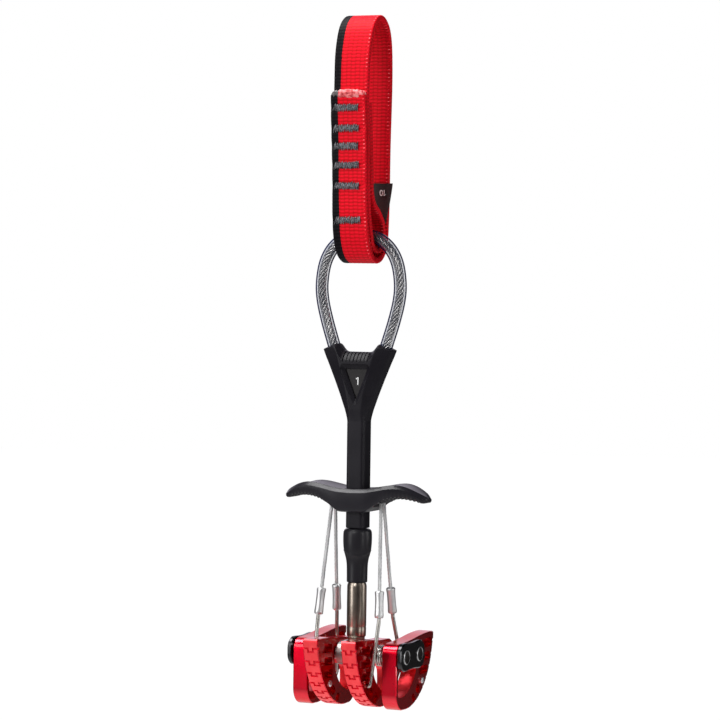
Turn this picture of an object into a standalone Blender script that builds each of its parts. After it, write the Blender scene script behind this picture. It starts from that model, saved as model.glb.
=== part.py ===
"""Spring loaded camming device: sling, thumb loop, stem, trigger and a head of four cams on two axles.

The frame has its origin at the inside top of the sling's loop, where a carabiner bears. +X runs along
the axles, +Y points to the back, +Z points up, and the device hangs below the origin.
"""
import math

import bmesh
import bpy
from mathutils import Vector

MM = 0.001
GAP = 0.3 * MM

# Sling: one strip of webbing, laid in three layers where it is sewn
WEB_WIDTH = 15.0 * MM
WEB_THICK = 2.4 * MM
WEB_PITCH = WEB_THICK + GAP
STACK_FRONT = -11.8 * MM
STACK_TOP = -30.0 * MM
STACK_LEAN = 2.4 * MM
LEAN_FOOT = -68.0 * MM
EYE_RADIUS = 6.2 * MM
TACK_HEIGHTS = [z * MM for z in (-35.0, -43.0, -50.0, -57.5, -65.5, -79.0)]
TACK_SPAN = (-6.2 * MM, 4.8 * MM)
TACK_FOOT = 1.5 * MM
TACK_CREST = 1.1 * MM
TACK_THICK = 0.5 * MM
LABEL_SPAN = (-6.5 * MM, 9.4 * MM)
LABEL_FACES = (7.1 * MM, 7.55 * MM)
LABEL_HEIGHTS = (-80.0 * MM, -64.0 * MM)

# Thumb loop and stem cable
LOOP_TOP = -84.6 * MM
CABLE_RADIUS = 1.55 * MM
TUBE_RADIUS = 2.6 * MM
TUBE_BORE = 1.9 * MM
CABLE_SLOT = (3.45 * MM, 1.85 * MM, 1.84 * MM)

# Handle and stem
HORN_TOP = -128.0 * MM
HANDLE_HALF_WIDTH = 14.3 * MM
FLARE_TOP = -133.0 * MM
FLARE_END = -158.0 * MM
STEM_HALF = 3.8 * MM
STEM_CORNER = 2.4 * MM
STEM_END = -201.1 * MM
CHANNEL_START = -163.0 * MM
SADDLE_RADIUS = 13.0 * MM
SADDLE_CENTRE_Z = -119.8 * MM
RECESS_FLOOR = -4.1 * MM
SIZE_PLATE_FACES = (-4.7 * MM, -4.4 * MM)
PAST_FACE = 8.0 * MM
BOOT_BORE = 3.65 * MM
BOOT_END = -222.6 * MM
SWAGE_RADIUS = 3.9 * MM

# Head
AXLE_Z = -250.6 * MM
AXLE_OFFSET = 6.5 * MM
AXLE_RADIUS = 2.4 * MM
BORE_RADIUS = AXLE_RADIUS + GAP
TERMINAL_HALF = 4.6 * MM
BLOCK_HALF_LENGTH = AXLE_OFFSET + 3.7 * MM
BLOCK_HALF_HEIGHT = 4.6 * MM
INNER_CAM = (5.0 * MM, 11.4 * MM)
OUTER_CAM = (16.1 * MM, 22.5 * MM)
PLATE = (22.8 * MM, 24.8 * MM)
SPACER_RADIUS = 3.25 * MM

# Cam lobe, measured outward and up from its own axle
TIP_ANGLE = math.radians(12.0)
TIP_RADIUS = 32.7 * MM
CAM_ANGLE = math.radians(14.5)
BACK_FLAT = 4.5 * MM
HOOK_OUT = 20.4 * MM
HOOK_UP = -11.4 * MM
HOOK_BORE = 1.1 * MM
WINDOW_SPAN = (-100.0, 6.0)
POCKET_DEPTH = 1.5 * MM
POCKETS = ((0.0, 3.1), (-14.0, 2.7), (-45.0, 2.3), (-60.0, 2.0))

# Trigger wires: a bent rod, a crimped ferrule and a cable up to the trigger
ROD_RADIUS = 0.75 * MM
WIRE_RADIUS = 0.65 * MM
FERRULE_RADIUS = 1.8 * MM
FERRULE_BORE = 1.1 * MM
INNER_ROD_X = 12.5 * MM
OUTER_ROD_X = 15.0 * MM
WIRE_TOP_X = 10.5 * MM
WIRE_TOP_Y = 1.0 * MM
WIRE_TOP_Z = -188.0 * MM
INNER_KNEE_X = 12.5 * MM
OUTER_KNEE_X = 13.0 * MM
KNEE_SHARE = 0.34
FERRULE_SPAN = (0.03, 0.24)
ROD_END = 0.13
CABLE_START = 0.15

SIDES = (("left", -1), ("right", 1))


# ---------------------------------------------------------------- helpers

def clear_scene():
    for obj in list(bpy.data.objects):
        bpy.data.objects.remove(obj)


def material(name, colour, roughness, metallic=0.0, alpha=1.0):
    mat = bpy.data.materials.new(name)
    mat.use_nodes = True
    shader = mat.node_tree.nodes["Principled BSDF"]
    shader.inputs["Base Color"].default_value = (*colour, 1.0)
    shader.inputs["Roughness"].default_value = roughness
    shader.inputs["Metallic"].default_value = metallic
    shader.inputs["Alpha"].default_value = alpha
    return mat


def add_object(name, bm, mat, smooth_angle=40.0, origin=(0.0, 0.0, 0.0)):
    """Turn a closed bmesh, made in world coordinates, into an object whose origin is at origin."""
    bmesh.ops.recalc_face_normals(bm, faces=bm.faces)
    bmesh.ops.translate(bm, verts=bm.verts, vec=-Vector(origin))
    mesh = bpy.data.meshes.new(name)
    bm.to_mesh(mesh)
    bm.free()
    mesh.shade_smooth()
    mesh.set_sharp_from_angle(angle=math.radians(smooth_angle))
    obj = bpy.data.objects.new(name, mesh)
    obj.location = origin
    bpy.context.scene.collection.objects.link(obj)
    if mat:
        mesh.materials.append(mat)
    return obj


def add_cutter(name, bm):
    cutter = add_object(name, bm, None)
    cutter.hide_render = True
    cutter.display_type = "WIRE"
    return cutter


def combine(target, tool, operation="DIFFERENCE"):
    modifier = target.modifiers.new(tool.name, "BOOLEAN")
    modifier.operation = operation
    modifier.object = tool
    modifier.solver = "EXACT"


def skin(rings, close_path=False):
    """Join equal rings of points with quads, and cap the two ends unless the path closes."""
    bm = bmesh.new()
    loops = [[bm.verts.new(point) for point in ring] for ring in rings]
    pairs = list(zip(loops, loops[1:]))
    if close_path:
        pairs.append((loops[-1], loops[0]))
    for lower, upper in pairs:
        for i in range(len(lower)):
            j = (i + 1) % len(lower)
            bm.faces.new((lower[i], lower[j], upper[j], upper[i]))
    if not close_path:
        bm.faces.new(loops[0])
        bm.faces.new(loops[-1])
    return bm


def prism(outline, low, high):
    """Extrude a (y, z) outline along X."""
    return skin([[(x, y, z) for y, z in outline] for x in (low, high)])


def circle(radius, sides, centre=(0.0, 0.0)):
    step = 2 * math.pi / sides
    return [(centre[0] + radius * math.cos(i * step), centre[1] + radius * math.sin(i * step))
            for i in range(sides)]


def turned_z(profile, sides, bore=None):
    """Turn a bottom-to-top list of (radius, z) about the Z axis, with a plain bore if one is given."""
    profile = list(profile)
    if bore:
        profile = profile + [(bore, profile[-1][1]), (bore, profile[0][1])]
    rings = [[(x, y, z) for x, y in circle(radius, sides)] for radius, z in profile]
    return skin(rings, close_path=bool(bore))


def turned_x(profile, sides, centre, bore=None):
    """Turn a list of (radius, x) about the line along X through centre (y, z)."""
    profile = list(profile)
    if bore:
        profile = profile + [(bore, profile[-1][1]), (bore, profile[0][1])]
    rings = [[(x, y, z) for y, z in circle(radius, sides, centre)] for radius, x in profile]
    return skin(rings, close_path=bool(bore))


def smooth_route(points, steps):
    """Catmull-Rom curve through the points, with steps samples between neighbours."""
    points = [Vector(p) for p in points]
    padded = [2 * points[0] - points[1]] + points + [2 * points[-1] - points[-2]]
    route = []
    for a, b, c, d in zip(padded, padded[1:], padded[2:], padded[3:]):
        for i in range(steps):
            t = i / steps
            route.append(0.5 * (2 * b + (c - a) * t + (2 * a - 5 * b + 4 * c - d) * t * t
                                + (3 * b - 3 * c + d - a) * t ** 3))
    return route + [points[-1]]


def route_rings(route, radius, sides):
    """Rings of points around a route, carried along it without twist."""
    tangents = []
    for i in range(len(route)):
        ahead = route[min(i + 1, len(route) - 1)]
        behind = route[max(i - 1, 0)]
        tangents.append((ahead - behind).normalized())
    side = tangents[0].orthogonal().normalized()
    rings = []
    for point, tangent in zip(route, tangents):
        side = (side - tangent * side.dot(tangent)).normalized()
        other = tangent.cross(side)
        rings.append([point + side * y + other * z for y, z in circle(radius, sides)])
    return rings


def cord(name, route, radius, mat, bevel=2, origin=(0.0, 0.0, 0.0)):
    """A round cable or wire: a poly curve with a bevel and filled caps."""
    curve = bpy.data.curves.new(name, "CURVE")
    curve.dimensions = "3D"
    curve.bevel_depth = radius
    curve.bevel_resolution = bevel
    curve.use_fill_caps = True
    curve.render_resolution_u = 0
    spline = curve.splines.new("POLY")
    spline.points.add(len(route) - 1)
    for slot, point in zip(spline.points, route):
        slot.co = (*(Vector(point) - Vector(origin)), 1.0)
    curve.materials.append(mat)
    obj = bpy.data.objects.new(name, curve)
    obj.location = origin
    bpy.context.scene.collection.objects.link(obj)
    return obj


def hollow(outer, inner):
    """A tube whose outer and inner skins meet at both ends."""
    return skin(outer + inner[::-1], close_path=True)


def rounded_box(half_x, half_y, corner, z, steps=3):
    """A rounded rectangle of points at height z."""
    ring = []
    for quarter, (sx, sy) in enumerate(((1, 1), (-1, 1), (-1, -1), (1, -1))):
        for i in range(steps + 1):
            angle = (quarter + i / steps) * math.pi / 2
            ring.append((sx * (half_x - corner) + corner * math.cos(angle),
                         sy * (half_y - corner) + corner * math.sin(angle), z))
    return ring


# ---------------------------------------------------------------- materials

RED_METAL = material("red_anodised_aluminium", (0.55, 0.01, 0.02), 0.3, 1.0)
STEEL = material("stainless_steel", (0.62, 0.61, 0.59), 0.28, 1.0)
WARM_STEEL = material("swaged_steel", (0.40, 0.36, 0.31), 0.35, 1.0)
BLACK_METAL = material("black_anodised_aluminium", (0.015, 0.015, 0.016), 0.22, 0.6)
PLASTIC = material("black_plastic", (0.02, 0.02, 0.022), 0.45)
CLEAR = material("clear_tube", (0.85, 0.88, 0.92), 0.05, 0.0, 0.35)
WEBBING = material("red_webbing", (0.60, 0.02, 0.03), 0.8)
THREAD = material("dark_thread", (0.07, 0.07, 0.08), 0.7)
LABEL = material("label_tape", (0.02, 0.02, 0.02), 0.6)
PRINT = material("size_plate_face", (0.9, 0.9, 0.9), 0.5)


# ---------------------------------------------------------------- sling

def stack_lean(z):
    """How far forward the sewn layers lean at a height: nothing at their foot, most at their top."""
    share = min(1.0, max(0.0, (z - LEAN_FOOT) / (STACK_TOP - LEAN_FOOT)))
    return -STACK_LEAN * share ** 1.2


def sewn_layer(y, *heights):
    """Points of one sewn layer that would stand at y if the stack were upright."""
    return [(y + stack_lean(z * MM), z * MM) for z in heights]


def webbing_route():
    """(y, z) line along the middle of the strip, from its cut front end to its hidden inner end."""
    middle = STACK_FRONT + WEB_PITCH
    inner = middle + WEB_PITCH
    outer_layer = sewn_layer(STACK_FRONT, STACK_TOP / MM, -40, -50, -60)
    outer_layer += [(STACK_FRONT + 0.1 * MM, -68 * MM), (-10.9 * MM, -79 * MM),
                   (-9.3 * MM, -87 * MM), (-5.8 * MM, -92.6 * MM), (0, -94.8 * MM)]
    back_strand = [(5.6 * MM, -92.6 * MM), (8.6 * MM, -87 * MM), (9.4 * MM, -74 * MM),
                   (9.9 * MM, -56 * MM), (10.3 * MM, -36 * MM), (10.5 * MM, -14 * MM)]
    top_arc = [(9.0 * MM, -5.0 * MM), (5.6 * MM, -0.6 * MM), (0.9 * MM, 1.2 * MM),
               (-4.0 * MM, -0.4 * MM), (-7.8 * MM, -5.0 * MM)]
    front_strand = [(-10.5 * MM, -14 * MM), (-11.2 * MM, -24 * MM)]
    front_strand += sewn_layer(middle, -33, -40, -50, -60)
    front_strand += [(middle + 0.1 * MM, -68 * MM), (-7.9 * MM, -78 * MM)]
    eye = [(EYE_RADIUS * math.cos(math.radians(a)), LOOP_TOP + EYE_RADIUS * math.sin(math.radians(a)))
           for a in (180, 210, 240, 270, 300, 330, 360)]
    inner_layer = [(5.4 * MM, -80.0 * MM), (1.6 * MM, -75.8 * MM), (-3.2 * MM, -72.6 * MM),
                   (inner + 0.5 * MM, -67.4 * MM)]
    inner_layer += sewn_layer(inner, -60, -50, -40, -33)
    points = outer_layer + back_strand + top_arc + front_strand + eye + inner_layer
    return smooth_route([(0, y, z) for y, z in points], 3)


def build_sling():
    route = webbing_route()
    rings = []
    for i, point in enumerate(route):
        along = (route[min(i + 1, len(route) - 1)] - route[max(i - 1, 0)]).normalized()
        across = Vector((0, -along.z, along.y))
        half, edge = WEB_WIDTH / 2, WEB_THICK / 2
        rings.append([point + Vector((x, 0, 0)) + across * t
                      for x, t in ((-half, -edge), (half, -edge), (half, edge), (-half, edge))])
    add_object("sling_webbing", skin(rings), WEBBING)

    face = STACK_FRONT - WEB_THICK / 2 - GAP
    for number, z in enumerate(TACK_HEIGHTS, 1):
        lean = 0.9 * MM if number == len(TACK_HEIGHTS) else -0.15 * MM
        y = face + lean + stack_lean(z)
        outline = [(y, z - TACK_FOOT), (y, z + TACK_FOOT),
                   (y - TACK_THICK, z + TACK_CREST), (y - TACK_THICK, z - TACK_CREST)]
        add_object(f"bar_tack_{number}", prism(outline, *TACK_SPAN), THREAD)

    low, high = LABEL_HEIGHTS
    front, back = LABEL_FACES
    outline = [(front, low), (back, low), (back, high), (front, high)]
    add_object("sling_label", prism(outline, *LABEL_SPAN), LABEL)


# ---------------------------------------------------------------- thumb loop and cable

def loop_half():
    """(x, z) of the thumb loop's right half, from inside the horn to the top."""
    points = ((11.6, -128.0), (14.5, -119.0), (16.6, -110.5), (17.0, -103.5),
              (15.6, -95.6), (12.2, -89.7), (6.8, -85.8), (0.0, -84.6))
    return [(x * MM, z * MM) for x, z in points]


def leg_half():
    """(x, z) of the cable's right leg, from the swage up through the handle."""
    points = ((1.65, -240.0), (1.65, -220.0), (1.65, -200.0), (1.65, -180.0), (1.65, -166.0),
              (1.9, -159.0), (3.5, -151.5), (6.0, -144.0), (8.8, -136.0))
    return [(x * MM, z * MM) for x, z in points]


def mirrored(half):
    """A route that goes up the right half and down its mirror image."""
    right = [(x, 0, z) for x, z in half]
    return right + [(-x, y, z) for x, y, z in right[-2::-1]]


def build_cable():
    loop = smooth_route(mirrored(loop_half()), 2)
    whole = smooth_route(mirrored(leg_half() + loop_half()), 2)
    cord("stem_cable", whole, CABLE_RADIUS, STEEL)
    outer = route_rings(loop, TUBE_RADIUS, 10)
    inner = route_rings(loop, TUBE_BORE, 10)
    add_object("loop_tube", hollow(outer, inner), CLEAR)


# ---------------------------------------------------------------- handle and stem

def handle_sections():
    """(half width, half depth, corner, z) from the foot of the stem to the horns."""
    flare_width = HANDLE_HALF_WIDTH - STEM_HALF
    flare_height = FLARE_TOP - FLARE_END
    sections = [(STEM_HALF, STEM_HALF, STEM_CORNER, z) for z in (STEM_END, FLARE_END - 6 * MM)]
    for share in (0.0, 0.08, 0.5, 0.94, 1.0):
        width = STEM_HALF + 0.1 * MM + flare_width * share
        depth = STEM_HALF + 0.1 * MM + 1.2 * MM * min(1.0, share * 1.6)
        sections.append((width, depth, STEM_CORNER, FLARE_END + flare_height * share))
    sections.append((HANDLE_HALF_WIDTH + 0.8 * MM, 5.0 * MM, 2.2 * MM, HORN_TOP - 1.2 * MM))
    sections.append((HANDLE_HALF_WIDTH, 4.4 * MM, 1.8 * MM, HORN_TOP))
    return sections


def build_handle():
    rings = [rounded_box(w, d, r, z) for w, d, r, z in handle_sections()]
    handle = add_object("handle", skin(rings), PLASTIC)

    saddle = circle(SADDLE_RADIUS, 28, (0.0, SADDLE_CENTRE_Z))
    saddle_cut = [[(x, y, z) for x, z in saddle] for y in (-PAST_FACE, PAST_FACE)]
    combine(handle, add_cutter("cut_saddle", skin(saddle_cut)))

    stem_slot = [rounded_box(*CABLE_SLOT, z) for z in (STEM_END - 2 * MM, CHANNEL_START)]
    combine(handle, add_cutter("cut_stem_slot", skin(stem_slot)))

    for side, sign in SIDES:
        half = [(sign * x, 0.0, z) for x, z in leg_half()[4:] + loop_half()[:2]]
        channel = route_rings(smooth_route(half, 2), CABLE_RADIUS + GAP, 10)
        combine(handle, add_cutter(f"cut_channel_{side}", skin(channel)))
        mouth = [(sign * x, 0.0, z) for x, z in ((10.2 * MM, -132.2 * MM), (11.6 * MM, -128.0 * MM),
                                                   (13.2 * MM, -123.0 * MM))]
        socket = route_rings([Vector(p) for p in mouth], TUBE_RADIUS + GAP, 12)
        combine(handle, add_cutter(f"cut_socket_{side}", skin(socket)))

    triangle = [(-6.4, -137.2), (6.4, -137.2), (7.0, -138.6), (1.2, -152.4), (-1.2, -152.4), (-7.0, -138.6)]
    outline = [(x * MM, z * MM) for x, z in triangle]
    recess = skin([[(x, y, z) for x, z in outline] for y in (-PAST_FACE, RECESS_FLOOR)])
    combine(handle, add_cutter("cut_recess", recess))

    plate = [(-3.2, -139.4), (3.2, -139.4), (3.4, -140.4), (1.2, -146.6), (-1.2, -146.6), (-3.4, -140.4)]
    outline = [(x * MM, z * MM) for x, z in plate]
    plate_mesh = skin([[(x, y, z) for x, z in outline] for y in SIZE_PLATE_FACES])
    add_object("size_plate", plate_mesh, PRINT)


def build_boot():
    profile = [(4.1, -222.6), (4.2, -220.0), (4.3, -215.5), (4.9, -212.4), (5.6, -209.0),
               (5.75, -206.5), (5.7, -203.2), (5.2, -201.8), (4.6, -201.4)]
    add_object("stem_boot", turned_z([(r * MM, z * MM) for r, z in profile], 24, BOOT_BORE), PLASTIC)


def build_terminal():
    """Swaged sleeve that runs down into the block that carries both axles."""
    top, bottom = BOOT_END - GAP, AXLE_Z + 3 * MM
    profile = [(3.3 * MM, bottom), (3.3 * MM, AXLE_Z + 8.2 * MM), (SWAGE_RADIUS, AXLE_Z + 8.8 * MM),
               (SWAGE_RADIUS, top - 0.5 * MM), (3.8 * MM, top)]
    sleeve = add_object("stem_terminal", turned_z(profile, 24), WARM_STEEL)

    straight = BLOCK_HALF_LENGTH - BLOCK_HALF_HEIGHT
    outline = []
    for sign in (1, -1):
        for i in range(9):
            angle = math.radians(-90 + 180 * i / 8)
            outline.append((sign * (straight + BLOCK_HALF_HEIGHT * math.cos(angle)),
                            AXLE_Z + sign * BLOCK_HALF_HEIGHT * math.sin(angle)))
    block = add_cutter("join_block", prism(outline, -TERMINAL_HALF, TERMINAL_HALF))
    combine(sleeve, block, "UNION")

    strands = [rounded_box(*CABLE_SLOT, z) for z in (-241.5 * MM, top + 2 * MM)]
    combine(sleeve, add_cutter("cut_strands", skin(strands)))
    for name, y in (("front", -AXLE_OFFSET), ("back", AXLE_OFFSET)):
        bore = turned_x([(BORE_RADIUS, -PAST_FACE), (BORE_RADIUS, PAST_FACE)], 20, (y, AXLE_Z))
        combine(sleeve, add_cutter(f"cut_axle_{name}", bore))


def build_axles():
    head = 3.05 * MM
    inside, outside = PLATE[1] + GAP, PLATE[1] + GAP + 0.6 * MM
    for name, y in (("front", -AXLE_OFFSET), ("back", AXLE_OFFSET)):
        profile = [(head - 0.3 * MM, -outside), (head, -outside + 0.3 * MM), (head, -inside),
                   (AXLE_RADIUS, -inside), (AXLE_RADIUS, inside), (head, inside),
                   (head, outside - 0.3 * MM), (head - 0.3 * MM, outside)]
        add_object(f"axle_{name}", turned_x(profile, 20, (y, AXLE_Z)), STEEL, origin=(0, y, AXLE_Z))
        for side, sign in SIDES:
            low, high = sorted((sign * (INNER_CAM[1] + GAP), sign * (OUTER_CAM[0] - GAP)))
            spacer = turned_x([(SPACER_RADIUS, low), (SPACER_RADIUS, high)], 16, (y, AXLE_Z), BORE_RADIUS)
            add_object(f"spacer_{name}_{side}", spacer, STEEL)


def plate_outline():
    """(y, z) of the peanut-shaped end plate, with a shallow waist above and below."""
    half_length, half_height, corner, waist = 12.0 * MM, 5.5 * MM, 4.3 * MM, 0.8 * MM
    upper = [(half_length - corner + corner * math.cos(math.radians(a)),
              half_height - corner + corner * math.sin(math.radians(a))) for a in range(0, 91, 15)]
    dip = [(half_length - corner) * share for share in (0.6, 0.3, 0.0)]
    flat = half_length - corner
    upper += [(y, half_height - waist * math.cos(math.pi / 2 * y / flat) ** 2) for y in dip]
    upper += [(-y, z) for y, z in upper[-2::-1]]
    return upper + [(-y, -z) for y, z in upper]


def build_end_plates():
    for side, sign in SIDES:
        low, high = sorted((sign * PLATE[0], sign * PLATE[1]))
        outline = [(y, AXLE_Z + z) for y, z in plate_outline()]
        bm = prism(outline, low, high)
        bmesh.ops.remove_doubles(bm, verts=bm.verts, dist=0.00001)
        plate = add_object(f"end_plate_{side}", bm, BLACK_METAL, smooth_angle=30)
        for name, y in (("front", -AXLE_OFFSET), ("back", AXLE_OFFSET)):
            bore = turned_x([(BORE_RADIUS, low - MM), (BORE_RADIUS, high + MM)], 20, (y, AXLE_Z))
            combine(plate, add_cutter(f"cut_plate_{name}_{side}", bore))


# ---------------------------------------------------------------- cams

def cam_radius(angle):
    """Logarithmic spiral of the gripping edge."""
    return TIP_RADIUS * math.exp(math.tan(CAM_ANGLE) * (angle - TIP_ANGLE))


def polar(radius, degrees):
    angle = math.radians(degrees)
    return radius * math.cos(angle), radius * math.sin(angle)


def cam_outline():
    """(out, up) points of a lobe: back flat, round heel, toothed spiral, tip flat and top edge."""
    corner = 4.4 * MM
    points = [(-BACK_FLAT + corner - corner * math.cos(math.radians(a)),
               0.9 * MM + corner * math.sin(math.radians(a))) for a in (90, 67, 45, 22, 0)]
    heel = 6.7 * MM
    points += [(-BACK_FLAT + heel - heel * math.cos(math.radians(a)),
                -14.6 * MM - heel * math.sin(math.radians(a))) for a in (0, 22, 45, 67, 85)]
    groove_depth, pitch, first = 0.55 * MM, 9.0, -72.0
    points.append(polar(cam_radius(math.radians(-78)), -78))
    for tooth in range(9):
        start = first + pitch * tooth
        for offset, depth in ((0.0, 0.0), (0.4, groove_depth), (1.6, groove_depth), (2.0, 0.0), (5.5, 0.0)):
            angle = start + offset
            points.append(polar(cam_radius(math.radians(angle)) - depth, angle))
    tip_out = TIP_RADIUS * math.cos(TIP_ANGLE)
    points += [(tip_out, 3.6 * MM), (tip_out, 6.9 * MM), (24.4 * MM, 7.0 * MM), (20.2 * MM, 6.8 * MM),
               (14.8 * MM, 6.3 * MM), (10.0 * MM, 5.8 * MM), (4.7 * MM, 5.4 * MM)]
    return points


def window_outline():
    """(out, up) points of the opening that the other axle travels in."""
    low, high = WINDOW_SPAN
    reach = 2 * AXLE_OFFSET + BORE_RADIUS + GAP
    steps = 8
    outer = [polar(reach + 0.4 * MM * i / steps, low + (high - low) * i / steps) for i in range(steps + 1)]
    stop = [(15.2 * MM, 2.9 * MM), (13.0 * MM, 3.4 * MM), (10.8 * MM, 2.6 * MM), (9.8 * MM, 0.4 * MM)]
    inner = [polar(6.0 * MM, a) for a in (-12, -34, -56, -78, -100)]
    return outer + stop + inner


def build_cam(name, out, axle_y, low, high):
    """One lobe. out is +1 where the grip faces the back and -1 where it faces the front."""
    def place(points):
        return [(axle_y + out * y, AXLE_Z + z) for y, z in points]

    cam = add_object(name, prism(place(cam_outline()), low, high), RED_METAL, 30, (0, axle_y, AXLE_Z))
    past = 1 * MM
    cuts = [prism(place(window_outline()), low - past, high + past),
            turned_x([(BORE_RADIUS, low - past), (BORE_RADIUS, high + past)], 20, (axle_y, AXLE_Z)),
            turned_x([(HOOK_BORE, low - past), (HOOK_BORE, high + past)], 10,
                     (axle_y + out * HOOK_OUT, AXLE_Z + HOOK_UP))]
    for degrees, radius in POCKETS:
        middle = (cam_radius(math.radians(degrees)) + 16.0 * MM) / 2
        y, z = polar(middle, degrees)
        centre = (axle_y + out * y, AXLE_Z + z)
        for start, stop in ((low - past, low + POCKET_DEPTH), (high - POCKET_DEPTH, high + past)):
            cuts.append(turned_x([(radius * MM, start), (radius * MM, stop)], 10, centre))
    for number, cut in enumerate(cuts):
        combine(cam, add_cutter(f"cut_{name}_{number}", cut))


def build_spring(name, axle_y, centre_x, out):
    """Torsion spring around a spacer, with one leg down and one leg out along the cam."""
    wire, mean, turns, per_turn = 0.35 * MM, SPACER_RADIUS + 0.65 * MM, 3, 12
    half = 1.25 * MM
    centre = Vector((centre_x, axle_y, AXLE_Z))
    route = []
    for i in range(turns * per_turn + 1):
        angle = 2 * math.pi * i / per_turn
        x = -half + 2 * half * i / (turns * per_turn)
        route.append(centre + Vector((x, -out * mean * math.cos(angle), mean * math.sin(angle))))
    route = [route[0] + Vector((0, 0, -5.5 * MM))] + route + [route[-1] + Vector((0, 0, 5.0 * MM))]
    add_object(name, skin(route_rings(route, wire, 6)), STEEL, 60, (0, axle_y, AXLE_Z))


def build_wire(name, rod_x, knee_x, pin_x, out, axle_y):
    """Rod hooked through a cam, ferrule, and cable up into the trigger, in two straight runs."""
    sign = 1 if rod_x > 0 else -1
    hook = Vector((rod_x, axle_y + out * HOOK_OUT, AXLE_Z + HOOK_UP))
    top = Vector((sign * WIRE_TOP_X, out * WIRE_TOP_Y, WIRE_TOP_Z))
    knee = hook.lerp(top, KNEE_SHARE)
    knee.x = knee_x
    inward = 1 if pin_x > rod_x else -1
    bend = 0.85 * MM
    rise = (knee - hook).normalized() * bend
    rod = [Vector((pin_x, hook.y, hook.z)), hook + Vector((inward * bend, 0, 0)),
           hook + Vector((inward * bend, 0, bend)) * 0.3, hook + rise, knee, knee.lerp(top, ROD_END)]
    origin = (0, hook.y, hook.z)
    add_object(f"rod_{name}", skin(route_rings(rod, ROD_RADIUS, 8)), STEEL, 60, origin)

    low, high = (knee.lerp(top, share) for share in FERRULE_SPAN)
    run = high - low
    ends = [low, low + run * 0.05, high - run * 0.05, high]
    radii = [FERRULE_RADIUS - 0.25 * MM, FERRULE_RADIUS, FERRULE_RADIUS, FERRULE_RADIUS - 0.25 * MM]
    outer = [route_rings([point, point + run], radius, 12)[0] for point, radius in zip(ends, radii)]
    inner = [route_rings([point, point + run], FERRULE_BORE, 12)[0] for point in (low, high)]
    add_object(f"ferrule_{name}", hollow(outer, inner), STEEL, 40, origin)

    cable = [knee.lerp(top, share) for share in (CABLE_START, 0.4, 0.7, 1.0)]
    cord(f"trigger_cable_{name}", cable, WIRE_RADIUS, STEEL, 2, origin)


def build_head():
    for side, sign in SIDES:
        inner = sorted(sign * x for x in INNER_CAM)
        outer = sorted(sign * x for x in OUTER_CAM)
        build_cam(f"cam_inner_{side}", -1, AXLE_OFFSET, *inner)
        build_cam(f"cam_outer_{side}", 1, -AXLE_OFFSET, *outer)
        middle = sign * (INNER_CAM[1] + OUTER_CAM[0]) / 2
        build_spring(f"spring_inner_{side}", AXLE_OFFSET, middle, 1)
        build_spring(f"spring_outer_{side}", -AXLE_OFFSET, middle, -1)
        inner_pin, outer_pin = sign * (INNER_CAM[0] - 0.4 * MM), sign * (OUTER_CAM[1] + 0.5 * MM)
        build_wire(f"inner_{side}", sign * INNER_ROD_X, sign * INNER_KNEE_X, inner_pin, -1, AXLE_OFFSET)
        build_wire(f"outer_{side}", sign * OUTER_ROD_X, sign * OUTER_KNEE_X, outer_pin, 1, -AXLE_OFFSET)


# ---------------------------------------------------------------- trigger

def trigger_stations():
    """(x, top, bottom, half depth) along the right wing, in millimetres, with finger teeth below."""
    shape = [(0.0, -185.0, -194.3, 8.2), (6.2, -184.7, -194.3, 8.2), (8.4, -184.5, -192.0, 8.2),
             (12.0, -183.9, -190.3, 8.2)]
    crest = [(13.0, -183.7, -189.9, 8.0), (28.0, -186.0, -189.9, 5.0)]
    teeth = 9
    for i in range(2 * teeth):
        share = i / (2 * teeth - 1)
        x = crest[0][0] + (crest[1][0] - crest[0][0]) * share
        top = -183.2 - 2.9 * max(0.0, share - 0.25) ** 1.6 - 0.5 * max(0.0, 0.25 - share) * 4
        bottom = -189.9 + 1.4 * math.sin(math.pi * share) + (0.55 if i % 2 else 0.0)
        shape.append((x, top, bottom, 8.0 - 3.0 * share ** 2))
    shape += [(30.0, -187.1, -189.9, 3.6), (31.0, -188.2, -189.3, 2.2)]
    return shape


def build_trigger():
    right = trigger_stations()
    stations = [(-x, t, b, d) for x, t, b, d in right[:0:-1]] + right
    rings = []
    for x, top, bottom, depth in stations:
        chamfer = min(1.4, 0.42 * (top - bottom), 0.5 * depth)
        section = [(-depth, bottom + 0.4 * chamfer), (-depth, top - chamfer), (-depth + chamfer, top),
                   (depth - chamfer, top), (depth, top - chamfer), (depth, bottom + 0.4 * chamfer),
                   (depth - chamfer, bottom), (-depth + chamfer, bottom)]
        rings.append([(x * MM, y * MM, z * MM) for y, z in section])
    trigger = add_object("trigger_bar", skin(rings), PLASTIC, 35)

    bore = STEM_HALF + 0.4 * MM
    hole = [rounded_box(bore, bore, 2.5 * MM, z) for z in (-200 * MM, -180 * MM)]
    combine(trigger, add_cutter("cut_stem_bore", skin(hole)))
    for side, sign in SIDES:
        half_x, half_y = 1.2 * MM, 6.7 * MM
        pocket = [[(sign * WIRE_TOP_X + x, y, z) for x, y, _ in rounded_box(half_x, half_y, 1.1 * MM, 0)]
                  for z in (-200 * MM, WIRE_TOP_Z + 1.7 * MM)]
        combine(trigger, add_cutter(f"cut_wire_pocket_{side}", skin(pocket)))


clear_scene()
build_sling()
build_cable()
build_handle()
build_boot()
build_terminal()
build_axles()
build_end_plates()
build_head()
build_trigger()
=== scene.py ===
"""Looks of the spring loaded camming device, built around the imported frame.

Lengths are in metres. +X runs along the axles, +Y to the back, +Z up. The origin is the inside top of the
sling's loop, and the device hangs below it.
"""
import random
from math import atan2, copysign, cos, degrees, exp, floor, hypot, pi, radians, sin, tan

import bmesh
import bpy
from mathutils import Matrix, Vector


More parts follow.
